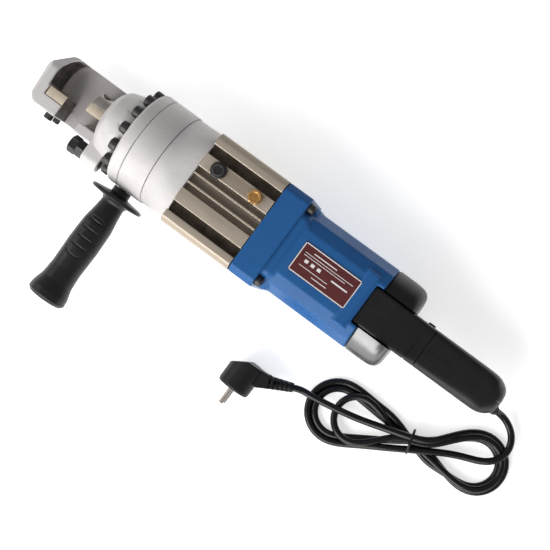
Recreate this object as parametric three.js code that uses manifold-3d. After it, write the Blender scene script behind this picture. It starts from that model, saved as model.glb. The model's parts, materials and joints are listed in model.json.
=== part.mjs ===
// A portable electric-hydraulic rebar cutter, lying on its back with the jaw open upwards.
// Millimetres, +Z up. +X runs forward to the cutting head, +Y towards the side handle.
// Inside the machine group the tool's own axis is the line y = 0, z = 0.
import * as THREE from 'three';
import { mergeVertices } from 'three/addons/utils/BufferGeometryUtils.js';
import Module from 'manifold-3d';

const wasm = await Module();
wasm.setup();

// ---------------------------------------------------------------- driving dimensions
const GAP = 0.3;                       // running clearance between neighbouring pieces
const BODY = 54;                       // half width of the round and square body sections
const NOSE_TIP = 297;
const HANDLE_END = -289.5;
const SIDE_GRIP_END = 195;

const HEAD_BACK = 161.4;               // rear face of the cutting head's flange
const HEAD_FLANGE = 176;               // front face of that flange
const DOME_FRONT = 213;
const RING_BACK = 131;                 // cylinder ring to pump case joint
const PUMP_BACK = 94;                  // pump case to gear case joint
const GEAR_BACK = 9;                   // gear case to motor housing joint
const MOTOR_FLANGE_BACK = -20.5;
const MOTOR_BACK = -130;               // rear edge of the motor housing
const ROOT_FRONT = -122.3;             // front of the handle root, in a notch in the housing
const CAP_BACK = -169;                 // rear edge of the two motor end covers
const GRIP_FRONT = -196;               // joint between handle root and grip

const BLADE_FACE = 256;                // fixed blade's cutting face
const SHEAR_PLANE = 10;                // Y of the plane the two blades pass in
const BLADE_THICK = 10;
const STROKE_START = 234.5;            // moving blade's edge when the piston is back
const THROAT_FLOOR = -20;
const NOSE_TOP = 22;
const SPINE_BOTTOM = -45;
const HEAD_RIGHT = -30;                // -Y side of the jaw casting
const HEAD_LEFT = 35;                  // +Y side of the jaw casting
const SIDE_HANDLE_X = 155.2;           // inside the cylinder ring, between two head bolts
const HANDLE_HALF = 22.2;

const ROD_R = 16;
const BORE_R = 30;
const CAVITY_R = 38.5;                 // gear case bore
const MOTOR_BORE_R = 43.5;
const BOLT_COUNT = 14;
const BOLT_CIRCLE = 46.5;
const SHAFT_R = 4;

const GEAR_MODULE = 1.5;
const PINION_TEETH = 8;
const WHEEL_TEETH = 20;
const GEAR_CENTRES = GEAR_MODULE * (PINION_TEETH + WHEEL_TEETH) / 2;

const CORD_R = 3.85;
const FLOOR = -BODY;                   // the surface the machine lies on

// ---------------------------------------------------------------- materials
function material(colour, roughness, metalness) {
  return new THREE.MeshStandardMaterial({ color: colour, roughness, metalness });
}
const silverPaint = material(0xcfcac4, 0.5, 0.6);
const anodised = material(0xa0917d, 0.35, 0.9);
const bluePaint = material(0x2d5ea6, 0.35, 0.2);
const blackPlastic = material(0x232321, 0.5, 0);
const glossBlack = material(0x1a1a1c, 0.2, 0);
const blackSteel = material(0x2a2a2c, 0.4, 0.9);
const bladeSteel = material(0xb9a98c, 0.35, 0.9);
const plainSteel = material(0x9b9a98, 0.35, 0.9);
const springSteel = material(0x77787c, 0.35, 0.9);
const castIron = material(0x57585a, 0.6, 0.7);
const brass = material(0xb8863b, 0.35, 0.9);
const copper = material(0xb66a3c, 0.4, 0.9);
const carbon = material(0x202020, 0.8, 0.1);
const rubber = material(0x181818, 0.8, 0);
const maroon = material(0x5f2f2f, 0.4, 0.1);
const cordRubber = material(0x141414, 0.6, 0);

// ---------------------------------------------------------------- solids
function solid(geometry, matrix) {
  const bare = geometry.index ? geometry.clone() : geometry;
  bare.deleteAttribute('normal');
  bare.deleteAttribute('uv');
  if (matrix) bare.applyMatrix4(matrix);
  const merged = mergeVertices(bare, 1e-4);
  return new wasm.Manifold(new wasm.Mesh({
    numProp: 3,
    vertProperties: new Float32Array(merged.attributes.position.array),
    triVerts: new Uint32Array(merged.index.array),
  }));
}

function geometryOf(body) {
  const mesh = body.getMesh();
  const geometry = new THREE.BufferGeometry();
  geometry.setAttribute('position', new THREE.BufferAttribute(new Float32Array(mesh.vertProperties), 3));
  geometry.setIndex(new THREE.BufferAttribute(new Uint32Array(mesh.triVerts), 1));
  geometry.computeVertexNormals();
  return geometry;
}

function joined(...bodies) {
  return bodies.reduce((whole, body) => whole.add(body));
}

function cut(body, ...tools) {
  return tools.reduce((rest, tool) => rest.subtract(tool), body);
}

function box(x, y, z) {
  const geometry = new THREE.BoxGeometry(x[1] - x[0], y[1] - y[0], z[1] - z[0]);
  geometry.translate((x[0] + x[1]) / 2, (y[0] + y[1]) / 2, (z[0] + z[1]) / 2);
  return solid(geometry);
}

const TURN_TO = {
  x: new THREE.Matrix4().makeRotationZ(-Math.PI / 2),
  y: new THREE.Matrix4(),
  z: new THREE.Matrix4().makeRotationX(Math.PI / 2),
};

// Turns a shape made along Y to another axis and moves it to [a, b] on the other two axes.
function ontoAxis(axis, centre) {
  const offset = { x: [0, ...centre], y: [centre[0], 0, centre[1]], z: [...centre, 0] }[axis];
  return new THREE.Matrix4().makeTranslation(...offset).multiply(TURN_TO[axis]);
}

// A round bar along one axis, from one station to another.
function bar(axis, span, radius, centre = [0, 0], sides = 24) {
  const geometry = new THREE.CylinderGeometry(radius, radius, span[1] - span[0], sides);
  geometry.translate(0, (span[0] + span[1]) / 2, 0);
  return solid(geometry, ontoAxis(axis, centre));
}

// A piece turned on a lathe: profile points are [station along the axis, radius].
function turned(axis, profile, sides = 32, centre = [0, 0]) {
  const points = profile.map(([along, radius]) => new THREE.Vector2(radius, along));
  return solid(new THREE.LatheGeometry(points, sides), ontoAxis(axis, centre));
}

function outline(points) {
  return new THREE.Shape(points.map(([a, b]) => new THREE.Vector2(a, b)));
}

// A flat outline pushed along an axis. Outline points are [y, z] for x, [x, z] for y, [x, y] for z.
function pushed(axis, shape, span, curveSegments = 6) {
  const depth = span[1] - span[0];
  const geometry = new THREE.ExtrudeGeometry(shape, { depth, bevelEnabled: false, curveSegments });
  const basis = {
    x: [[0, 1, 0], [0, 0, 1], [1, 0, 0]],
    y: [[1, 0, 0], [0, 0, 1], [0, -1, 0]],
    z: [[1, 0, 0], [0, 1, 0], [0, 0, 1]],
  }[axis].map((v) => new THREE.Vector3(...v));
  const start = axis === 'y' ? span[1] : span[0];
  const matrix = new THREE.Matrix4().makeBasis(...basis);
  const along = { x: [start, 0, 0], y: [0, start, 0], z: [0, 0, start] }[axis];
  matrix.premultiply(new THREE.Matrix4().makeTranslation(...along));
  return solid(geometry, matrix);
}

// A body along X whose section is a superellipse that changes from station to station.
// Each station is [x, half width, half height, centre height, power].
function lofted(stations, sides = 32) {
  const rings = stations.length - 1;
  const geometry = new THREE.CylinderGeometry(1, 1, rings, sides, rings);
  const position = geometry.attributes.position;
  const at = new THREE.Vector3();
  for (let i = 0; i < position.count; i += 1) {
    at.fromBufferAttribute(position, i);
    const [x, wide, high, centre, power] = stations[Math.round(at.y + rings / 2)];
    const reach = Math.hypot(at.x, at.z);
    const across = reach > 0.5 ? at.x : 0;
    const up = reach > 0.5 ? at.z : 0;
    const shape = (v) => Math.sign(v) * Math.abs(v) ** (2 / power);
    position.setXYZ(i, x, shape(across) * wide, centre + shape(up) * high);
  }
  const forwards = stations[rings][0] > stations[0][0];
  const index = geometry.index.array;
  for (let i = 0; forwards && i < index.length; i += 3) {
    [index[i], index[i + 1]] = [index[i + 1], index[i]];
  }
  return solid(geometry);
}

function hexagon(acrossFlats, turn = 0) {
  const radius = acrossFlats / Math.sqrt(3);
  return outline(Array.from({ length: 6 }, (_, i) => {
    const angle = turn + i * Math.PI / 3;
    return [radius * Math.cos(angle), radius * Math.sin(angle)];
  }));
}

// ---------------------------------------------------------------- placing meshes
const machine = new THREE.Group();
const group = new THREE.Group();
group.add(machine);
machine.position.set(
  -(HANDLE_END + NOSE_TIP) / 2,
  -(SIDE_GRIP_END - BODY) / 2,
  BODY,
);

function place(name, body, look, parent = machine, position = [0, 0, 0]) {
  const mesh = new THREE.Mesh(geometryOf(body), look);
  mesh.name = name;
  mesh.position.set(...position);
  parent.add(mesh);
  return mesh;
}

// ================================================================ cutting head
const BOLT_CENTRES = Array.from({ length: BOLT_COUNT }, (_, i) => {
  const angle = i * 2 * Math.PI / BOLT_COUNT;
  return [BOLT_CIRCLE * Math.sin(angle), BOLT_CIRCLE * Math.cos(angle)];
});

// One round hole or bar for each head bolt.
function atBolts(span, radius, sides) {
  return BOLT_CENTRES.map((centre) => bar('x', span, radius, centre, sides));
}

const BOLT_HOLE_R = 4.9;
const STOPPER = [46, 0];
const STOPPER_HOLE_R = 6.3;
const CLAMP_SCREWS = [
  { name: 'fixed_blade_screw_front', x: 270.5, head: 5, top: 42.3 },
  { name: 'fixed_blade_screw_rear', x: 260.8, head: 4, top: 40.8 },
];
const CLAMP_Z = -8;

function cuttingHead() {
  const side = outline([
    [166, SPINE_BOTTOM + 4], [172, SPINE_BOTTOM], [286, SPINE_BOTTOM], [294, SPINE_BOTTOM + 4],
    [NOSE_TIP, SPINE_BOTTOM + 12], [NOSE_TIP, 12], [294, 19], [288, NOSE_TOP],
    [BLADE_FACE, NOSE_TOP], [BLADE_FACE, -17.5], [253, THROAT_FLOOR],
    [DOME_FRONT, THROAT_FLOOR], [166, THROAT_FLOOR],
  ]);
  const plan = outline([
    [166, HEAD_RIGHT], [273.5, HEAD_RIGHT], [278, -27.5], [296, -13.5], [NOSE_TIP, -9],
    [293, 26], [289.5, 32.5], [284, HEAD_LEFT], [166, HEAD_LEFT],
  ]);
  const front = outline([
    [-60, -60], [60, -60], [60, NOSE_TOP], [-8, NOSE_TOP], [-30, 11], [-60, -4],
  ]);
  const jaw = pushed('y', side, [-60, 60])
    .intersect(pushed('z', plan, [-60, 60]))
    .intersect(pushed('x', front, [150, 310]));
  const dome = turned('x', [
    [HEAD_BACK, 0], [HEAD_BACK, BODY], [173.5, BODY], [HEAD_FLANGE, 51.5],
    [HEAD_FLANGE, 39.6], [190, 39.6], [200, 37.4], [208, 33.2], [DOME_FRONT, 27],
    [DOME_FRONT, 0],
  ], 36);
  const cheek = box([200, 235], [23.4, HEAD_LEFT], [-24, 8]);
  const boss = joined(
    bar('x', [191, 212], 11, STOPPER, 24),
    box([191, 212], [24, 46], [-11, 11]),
  );
  const whole = joined(dome, jaw, cheek, boss);
  const recess = pushed('z', outline([
    [BLADE_FACE - 1, HEAD_RIGHT - 5], [262, HEAD_RIGHT - 5], [265, -31], [273.4, -28],
    [279.5, -21.5], [282.5, -13], [283, -4], [282, 10.3], [278.3, 10.3], [278.3, 21],
    [BLADE_FACE - 1, 21],
  ]), [THROAT_FLOOR + 3, NOSE_TOP + 5]);
  const cutters = [
    recess,
    bar('x', [HEAD_BACK - 1, 172], BORE_R + 0.2, [0, 0], 32),
    bar('x', [171, DOME_FRONT + 1], ROD_R + 0.6, [0, 0], 24),
    bar('x', [188, DOME_FRONT], STOPPER_HOLE_R, STOPPER, 12),
    ...atBolts([HEAD_BACK - 1, HEAD_FLANGE + 1], BOLT_HOLE_R, 6),
    ...atBolts([HEAD_FLANGE, 200], 7.5, 8),
    ...CLAMP_SCREWS.map(({ x }) => bar('y', [20, HEAD_LEFT + 1], 3.4, [x, CLAMP_Z], 10)),
  ];
  return cut(whole, ...cutters);
}
place('cutter_head', cuttingHead(), silverPaint);

function fixedBlade() {
  const block = box([BLADE_FACE, 278], [SHEAR_PLANE + GAP, 20.6], [-16.5, 21.4]);
  const holes = CLAMP_SCREWS.map(({ x }) => bar('y', [14, 22], 3.4, [x, CLAMP_Z], 10));
  return cut(block, ...holes);
}
place('fixed_blade', fixedBlade(), bladeSteel);

for (const { name, x, head, top } of CLAMP_SCREWS) {
  const screw = joined(
    bar('y', [HEAD_LEFT + GAP, top], head, [0, 0], 16),
    bar('y', [15, HEAD_LEFT + 1], 3, [0, 0], 10),
  );
  const socket = pushed('y', hexagon(4), [top - 3, top + 1]);
  place(name, cut(screw, socket), blackSteel, machine, [x, 0, CLAMP_Z]);
}

// The fourteen head bolts are one piece here: a thin ring in the joint holds their shanks together.
const RING_THICK = 0.8;
const BOLT_TIP = 106;
function headBolts() {
  const ring = cut(
    bar('x', [160.6 - RING_THICK, 160.6], 49.3, [0, 0], 20),
    bar('x', [150, 162], 43.8, [0, 0], 20),
  );
  const heads = atBolts([HEAD_FLANGE + GAP, 184.3], 6.5, 10);
  const shanks = atBolts([BOLT_TIP, HEAD_FLANGE + 1], 4, 6);
  return joined(ring, ...heads, ...shanks);
}
place('head_bolts', headBolts(), blackSteel);

// ================================================================ piston and moving blade
const PISTON_BACK = 112;
const PISTON_FACE = 124;
const ROD_FRONT = 233;
const BLADE_SCREW = { x: 225, z: 4 };

function piston() {
  const turnedPart = turned('x', [
    [PISTON_BACK, 0], [PISTON_BACK, BORE_R - 0.4], [116, BORE_R - 0.4], [116, 26.5], [120, 26.5],
    [120, BORE_R - 0.4], [PISTON_FACE, BORE_R - 0.4], [PISTON_FACE, ROD_R], [ROD_FRONT, ROD_R],
    [ROD_FRONT, 0],
  ], 24);
  return cut(
    turnedPart,
    box([214, ROD_FRONT + 1], [0, ROD_R + 1], [-ROD_R - 1, ROD_R + 1]),
    bar('y', [-ROD_R - 1, -9], 6.5, [BLADE_SCREW.x, BLADE_SCREW.z], 16),
    bar('y', [-10, 1], 3.4, [BLADE_SCREW.x, BLADE_SCREW.z], 10),
  );
}
place('piston', piston(), plainSteel);
place('piston_seal', turned('x', [
  [116.4, 27.2], [116.4, BORE_R - 0.35], [119.6, BORE_R - 0.35], [119.6, 27.2], [116.4, 27.2],
], 24), rubber);

function movingBlade() {
  const block = box([214.4, STROKE_START], [GAP, SHEAR_PLANE], [-15.5, 15.5]);
  return cut(block, bar('y', [-1, 8], 3.4, [BLADE_SCREW.x, BLADE_SCREW.z], 10));
}
place('moving_blade', movingBlade(), bladeSteel);
place('moving_blade_screw', cut(
  joined(bar('y', [-14, -9 - GAP], 5, [0, 0], 14), bar('y', [-10, 7.5], 3, [0, 0], 10)),
  pushed('y', hexagon(5), [-15, -11]),
), blackSteel, machine, [BLADE_SCREW.x, 0, BLADE_SCREW.z]);

function coil(from, to, radius, wire, turns, stepsPerTurn) {
  const count = Math.round(turns * stepsPerTurn);
  const points = Array.from({ length: count + 1 }, (_, i) => {
    const angle = i * 2 * Math.PI / stepsPerTurn;
    return new THREE.Vector3(
      from + (to - from) * i / count,
      radius * Math.cos(angle),
      radius * Math.sin(angle),
    );
  });
  return tube(points, wire, 5, count);
}

// A tube along a smooth path: a regular section pushed along the curve.
function tube(points, radius, sides, steps) {
  const section = outline(Array.from({ length: sides }, (_, i) => {
    const angle = i * 2 * Math.PI / sides;
    return [radius * Math.cos(angle), radius * Math.sin(angle)];
  }));
  const path = new THREE.CatmullRomCurve3(points, false, 'centripetal');
  return solid(new THREE.ExtrudeGeometry(section, { steps, extrudePath: path, bevelEnabled: false }));
}
place('return_spring', coil(PISTON_FACE + 2.5, 169.4, 22.5, 2, 5, 10), springSteel);

// ================================================================ cylinder and pump case
function cylinder() {
  const turnedPart = turned('x', [
    [98, 0], [98, 36], [RING_BACK + GAP, 36], [RING_BACK + GAP, BODY - 0.7], [RING_BACK + 1.2, BODY],
    [HEAD_BACK - 1.2, BODY], [HEAD_BACK - 0.4, BODY - 0.7], [HEAD_BACK - 0.4, BORE_R],
    [106, BORE_R], [106, 0],
  ], 36);
  const lockRing = cut(
    bar('x', [159.5, 163], 50.4, [0, 0], 20),
    bar('x', [150, 163], 43, [0, 0], 20),
  );
  return cut(
    turnedPart,
    lockRing,
    bar('x', [97, 107], 2, [0, 18], 10),
    bar('y', [39, 60], 4.2, [SIDE_HANDLE_X, 0], 12),
    ...atBolts([100, 170], BOLT_HOLE_R, 6),
  );
}
place('cylinder', cylinder(), silverPaint);

const VALVE_X = 121;
const VALVE_TURN = -8.5 * 360 / BOLT_COUNT;   // down and to -Y, midway between two head bolts
function onValveAxis(body) {
  return body.rotate([VALVE_TURN, 0, 0]).translate([VALVE_X, 0, 0]);
}

function pumpCase() {
  const outer = lofted([
    [PUMP_BACK + GAP, 53.6, 53.6, 0, 3.2], [112, 52.9, 52.9, 0, 2.3], [RING_BACK, 52.6, 52.6, 0, 2],
  ], 36);
  return cut(
    outer,
    bar('x', [97.6, RING_BACK + 1], 36.5, [0, 0], 36),
    bar('x', [PUMP_BACK - 1, 99], 33, [0, 0], 32),
    onValveAxis(bar('z', [40, 70], 4.4, [0, 0], 12)),
    ...atBolts([104, RING_BACK + 1], BOLT_HOLE_R, 6),
  );
}
place('pump_case', pumpCase(), silverPaint);

function releaseKnob() {
  const knob = joined(
    bar('z', [55.6, 61.2], 7, [0, 0], 12),
    bar('z', [42, 56], 4, [0, 0], 12),
  );
  return onValveAxis(knob);
}
place('release_knob', releaseKnob(), blackSteel);

// ================================================================ stopper
place('stopper_bolt', joined(
  pushed('x', hexagon(17.5), [221.6, 231]),
  bar('x', [189, 222], 5.8, [0, 0], 16),
), blackSteel, machine, [0, ...STOPPER]);
place('stopper_nut', cut(
  pushed('x', hexagon(18, Math.PI / 6), [212.3, 221.3]),
  bar('x', [211, 223], 6.2, [0, 0], 16),
), blackSteel, machine, [0, ...STOPPER]);

// ================================================================ gear case and pump
const FILL = { x: 74, y: -21 };
const BLEED = { x: 28, y: -21 };
const CORNER_BOLT = 44.5;

function finProfile() {
  const half = [
    [48, BODY], [40.3, BODY], [40.3, 44], [29, 44], [29, BODY], [13.4, BODY], [13.4, 45],
    [6.5, 45], [6.5, 53], [4.5, 53], [4.5, 45],
  ];
  const face = [...half, ...half.map(([across, up]) => [-across, up]).reverse()];
  const quarterTurns = [0, 1, 2, 3];
  const points = quarterTurns.flatMap((turn) => {
    const angle = turn * Math.PI / 2;
    return face.map(([a, b]) => [
      a * Math.cos(angle) - b * Math.sin(angle),
      a * Math.sin(angle) + b * Math.cos(angle),
    ]);
  });
  return outline(points);
}

function cornerPlaces() {
  return [[1, 1], [-1, 1], [-1, -1], [1, -1]].map(([a, b]) => [a * CORNER_BOLT, b * CORNER_BOLT]);
}

function gearCase() {
  return cut(
    pushed('x', finProfile(), [GEAR_BACK + GAP, PUMP_BACK]),
    bar('x', [0, 100], CAVITY_R, [0, 0], 32),
    bar('z', [20, 60], 6.3, [FILL.x, FILL.y], 12),
    bar('z', [20, 60], 4.4, [BLEED.x, BLEED.y], 12),
    ...cornerPlaces().map((centre) => bar('x', [8, 30], 3.4, centre, 10)),
  );
}
place('gear_case', gearCase(), anodised);

place('fill_plug', cut(
  joined(bar('z', [BODY + GAP, 58], 8.7, [0, 0], 20), bar('z', [38, BODY + 1], 6, [0, 0], 12)),
  pushed('z', hexagon(8), [55, 60]),
), blackSteel, machine, [FILL.x, FILL.y, 0]);
place('bleed_screw', joined(
  pushed('z', hexagon(13), [55.6, 61]),
  bar('z', [BODY + GAP, 56], 7.6, [0, 0], 20),
  bar('z', [38, 56], 4, [0, 0], 12),
), brass, machine, [BLEED.x, BLEED.y, 0]);

function oilBladder() {
  const ring = cut(
    bar('x', [32, 60], CAVITY_R - 0.5, [0, 0], 32),
    bar('x', [31, 61], 27, [0, 0], 32),
  );
  return cut(ring, box([0, 100], [-60, 60], [-60, 4]));
}
place('oil_bladder', oilBladder(), rubber);

const LAYSHAFT = [0, -GEAR_CENTRES];
const PLUNGER_X = 50;
const PORT_Z = 18;

function pumpBlock() {
  const plate = bar('x', [62, PUMP_BACK - GAP], CAVITY_R - 0.4, [0, 0], 32);
  const nozzle = bar('x', [90, 97.6], 8, [0, PORT_Z], 20);
  const arm = box([41, 63], [-12, 12], [1, 24]);
  return cut(
    joined(plate, nozzle, arm),
    bar('x', [61, 76], 5.4, LAYSHAFT, 14),
    bar('z', [0, 20], 4.3, [PLUNGER_X, 0], 14),
    bar('x', [PLUNGER_X, 99], 2, [0, PORT_Z], 10),
  );
}
place('pump_block', pumpBlock(), castIron);
place('pump_plunger', bar('z', [-6.9, 12], 4, [PLUNGER_X, 0], 14), plainSteel);

// Involute spur gear outline, thinned so that the teeth run with backlash.
function gearOutline(teeth, turn) {
  const pitchR = GEAR_MODULE * teeth / 2;
  const baseR = pitchR * Math.cos(Math.PI / 9);
  const rootR = pitchR - 1.25 * GEAR_MODULE;
  const tipR = pitchR + 0.8 * GEAR_MODULE;
  const involute = (r) => {
    const ratio = Math.max(r, baseR) / baseR;
    const angle = Math.acos(1 / ratio);
    return Math.tan(angle) - angle;
  };
  const halfTooth = (r) => (Math.PI / 2 / teeth) + involute(pitchR) - involute(r) - 0.36 / pitchR;
  const radii = [rootR, pitchR, tipR];
  const points = [];
  for (let tooth = 0; tooth < teeth; tooth += 1) {
    const middle = turn + tooth * 2 * Math.PI / teeth;
    for (const r of radii) points.push([r, middle - halfTooth(r)]);
    for (const r of [...radii].reverse()) points.push([r, middle + halfTooth(r)]);
  }
  return outline(points.map(([r, a]) => [r * Math.cos(a), r * Math.sin(a)]));
}

const ECCENTRIC = 2.5;
const LOBE = [44, 56];
const WHEEL_TURN = Math.PI / 2 + Math.PI / WHEEL_TEETH;   // a gap faces the pinion's tooth
place('drive_gear', cut(
  pushed('x', gearOutline(WHEEL_TEETH, WHEEL_TURN), [12.5, 24]).translate([0, ...LAYSHAFT]),
  bar('x', [10, 30], 5.4, LAYSHAFT, 16),
), plainSteel);
place('eccentric_shaft', joined(
  bar('x', [3, 10], 3.6, LAYSHAFT, 14),
  bar('x', [9.8, 74], 5, LAYSHAFT, 14),
  bar('x', LOBE, 8, [0, LAYSHAFT[1] - ECCENTRIC], 20),
), plainSteel);
place('eccentric_bearing', cut(
  bar('x', [LOBE[0] + 1, LOBE[1] - 1], 11, [0, LAYSHAFT[1] - ECCENTRIC], 24),
  bar('x', [40, 60], 8.4, [0, LAYSHAFT[1] - ECCENTRIC], 20),
), springSteel);

// ================================================================ motor
const BARREL = 48;
const PLATE_TOP = 49;

function barrelProfile() {
  const quarter = [[BARREL, 27], [36, 44.5], [22, PLATE_TOP]];
  const upper = [...quarter, ...quarter.map(([a, b]) => [-a, b]).reverse()];
  return outline([...upper, ...upper.map(([a, b]) => [-a, -b])]);
}

function squareProfile(half, chamfer) {
  const inner = half - chamfer;
  return outline([
    [half, inner], [inner, half], [-inner, half], [-half, inner],
    [-half, -inner], [-inner, -half], [inner, -half], [half, -inner],
  ]);
}

function motorHousing() {
  const barrel = pushed('x', barrelProfile(), [MOTOR_BACK, 0]);
  const flange = pushed('x', squareProfile(BODY, 7), [MOTOR_FLANGE_BACK, GEAR_BACK - GAP]);
  const step = pushed('x', squareProfile(50.5, 17), [-28, MOTOR_FLANGE_BACK + 1]);
  return cut(
    joined(barrel, flange, step),
    bar('x', [MOTOR_BACK - 1, -1], MOTOR_BORE_R, [0, 0], 32),
    bar('x', [-2, 5.2], 11.4, [0, 0], 24),
    bar('x', [-2, 12], 6, [0, 0], 16),
    bar('x', [2, 12], 4.1, LAYSHAFT, 14),
    box([MOTOR_BACK - 1, ROOT_FRONT + GAP], [-HANDLE_HALF - 0.4, HANDLE_HALF + 0.4], [-60, 60]),
    ...cornerPlaces().map((centre) => bar('x', [-30, 12], 3.4, centre, 10)),
    ...cornerPlaces().map((centre) => bar('x', [-30, MOTOR_FLANGE_BACK], 6, centre, 14)),
  );
}
place('motor_housing', motorHousing(), bluePaint);

const CORNER_NAMES = ['left_top', 'right_top', 'right_bottom', 'left_bottom'];
cornerPlaces().forEach((centre, i) => {
  const bolt = cut(
    joined(
      bar('x', [-26.5, MOTOR_FLANGE_BACK - GAP], 5, [0, 0], 14),
      bar('x', [-21, 28], 3, [0, 0], 10),
    ),
    pushed('x', hexagon(5), [-28, -23.5]),
  );
  place(`motor_bolt_${CORNER_NAMES[i]}`, bolt, blackSteel, machine, [0, ...centre]);
});

place('nameplate', box([-109, -39.5], [-16.5, 17], [PLATE_TOP + GAP, PLATE_TOP + 1]), maroon);

place('armature_shaft', joined(
  bar('x', [-118, 12], SHAFT_R, [0, 0], 16),
  pushed('x', gearOutline(PINION_TEETH, -Math.PI / 2), [11, 26]),
), plainSteel);

function armatureCore() {
  const slots = 12;
  const points = [];
  for (let i = 0; i < slots; i += 1) {
    const middle = i * 2 * Math.PI / slots;
    for (const [r, offset] of [[16, -0.1], [16, 0.1], [24.4, 0.05], [24.4, 0.47]]) {
      points.push([r * Math.cos(middle + offset), r * Math.sin(middle + offset)]);
    }
  }
  return cut(pushed('x', outline(points), [-78, -32]), bar('x', [-80, -30], SHAFT_R + 0.4, [0, 0], 16));
}
place('armature_core', armatureCore(), copper);
place('commutator', cut(
  bar('x', [-102, -84], 14, [0, 0], 24),
  bar('x', [-110, -80], SHAFT_R + 0.4, [0, 0], 16),
), copper);

function coolingFan() {
  const blades = Array.from({ length: 9 }, (_, i) => {
    const blade = box([-22, -9], [16, 39.4], [-0.9, 0.9]);
    return blade.rotate([i * 40, 0, 0]);
  });
  const disc = joined(bar('x', [-10.5, -8.5], 40, [0, 0], 36), bar('x', [-22, -9], 10, [0, 0], 18));
  return cut(joined(disc, ...blades), bar('x', [-30, 0], SHAFT_R + 0.4, [0, 0], 16));
}
place('cooling_fan', coolingFan(), blackPlastic);

place('field_core', cut(
  bar('x', [-82, -28], MOTOR_BORE_R - 0.4, [0, 0], 32),
  bar('x', [-90, -20], 25.6, [0, 0], 24),
), castIron);

function bearing(span, outer) {
  const hole = bar('x', [span[0] - 1, span[1] + 1], SHAFT_R + 0.3, [0, 0], 16);
  return cut(bar('x', span, outer, [0, 0], 24), hole);
}
place('front_bearing', bearing([-1, 4.8], 11), plainSteel);
place('rear_bearing', bearing([-117, -111], 9), plainSteel);

const BRUSH_X = -93;
function rearBracket() {
  return cut(
    bar('x', [-118, -109], MOTOR_BORE_R - 0.4, [0, 0], 32),
    bar('x', [-117.4, -100], 9.4, [0, 0], 24),
    bar('x', [-120, -100], SHAFT_R + 1, [0, 0], 16),
    ...[45, 135, 225, 315].map((turn) => bar('x', [-120, -100], 9, [27, 0], 10).rotate([turn, 0, 0])),
  );
}
place('rear_bracket', rearBracket(), castIron);

for (const [side, sign] of [['left', 1], ['right', -1]]) {
  const facing = sign > 0 ? 0 : 180;
  const holder = cut(
    box([BRUSH_X - 6, BRUSH_X + 6], [16, 42.5], [-7, 7]),
    box([BRUSH_X - 3.4, BRUSH_X + 3.4], [15, 41], [-4.4, 4.4]),
  );
  place(`brush_holder_${side}`, holder.rotate([facing, 0, 0]), brass);
  const brush = box([BRUSH_X - 3, BRUSH_X + 3], [14.3, 30], [-4, 4]);
  place(`carbon_brush_${side}`, brush.rotate([facing, 0, 0]), carbon);
}

// ================================================================ rear covers and handle
const CAP_WALL = 3.5;

function endCovers() {
  const outer = lofted([
    [CAP_BACK, 36, 34, 0, 2.2], [-166, 43, 41, 0, 2.3], [-160, 47.5, 46, 0, 2.4],
    [-150, BARREL + 0.6, 47.5, 0, 2.4], [MOTOR_BACK - GAP, BARREL + 0.6, 48, 0, 2.4],
  ], 40);
  const inner = lofted([
    [CAP_BACK + CAP_WALL, 34, 32, 0, 2.2], [-160, 44, 42, 0, 2.4], [-128, 44.6, 44, 0, 2.4],
  ], 32);
  return cut(outer, inner);
}
const covers = endCovers();
const BESIDE_HANDLE = HANDLE_HALF + GAP + 0.1;
for (const [side, across] of [['left', [BESIDE_HANDLE, 80]], ['right', [-80, -BESIDE_HANDLE]]]) {
  const half = covers.intersect(box([-200, -100], across, [-80, 80]));
  place(`rear_cover_${side}`, half, glossBlack);
}

const WALL = 3;
// Stations of the handle: [x, half width, half height, centre height, power].
const HANDLE_STATIONS = [
  [ROOT_FRONT, HANDLE_HALF, 45, 0, 5], [-150, HANDLE_HALF, 44, 0, 5],
  [-166, HANDLE_HALF, 38, 0, 4.5], [-182, HANDLE_HALF, 32, 0, 4], [GRIP_FRONT, HANDLE_HALF, 29, 0, 3.6],
  [-240, HANDLE_HALF, 26, 0, 3.2], [-266, HANDLE_HALF, 25, 0, 3], [-278, 20, 22.5, 0, 2.7],
  [-285, 15.6, 18, 0, 2.4], [-288.4, 10.4, 12.4, 0, 2.2], [HANDLE_END, 4, 5, 0, 2],
];

function handleShell() {
  const outer = lofted(HANDLE_STATIONS, 28);
  const hollow = HANDLE_STATIONS.slice(0, 8).map(
    ([x, wide, high, centre, power]) => [x, wide - WALL, high - WALL, centre, power],
  );
  hollow[0][0] += 2;
  hollow[7][1] = 12;
  hollow[7][2] = 14;
  return cut(outer, lofted(hollow, 20));
}

// Turns a shape made along Y onto a line and moves its middle some way along it.
function alongLine(start, direction, distance) {
  const unit = direction.clone().normalize();
  const turn = new THREE.Quaternion().setFromUnitVectors(new THREE.Vector3(0, 1, 0), unit);
  const middle = start.clone().addScaledVector(unit, distance);
  return new THREE.Matrix4().compose(middle, turn, new THREE.Vector3(1, 1, 1));
}

const GUARD_START = new THREE.Vector3(-274, 9, -8);
const GUARD_END = new THREE.Vector3(-291, 9, -31);
const GUARD_LENGTH = GUARD_END.distanceTo(GUARD_START);
function alongGuard(from, to, radius, endRadius) {
  const direction = GUARD_END.clone().sub(GUARD_START);
  const geometry = new THREE.CylinderGeometry(endRadius, radius, to - from, 16);
  return solid(geometry, alongLine(GUARD_START, direction, (from + to) / 2));
}

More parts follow.
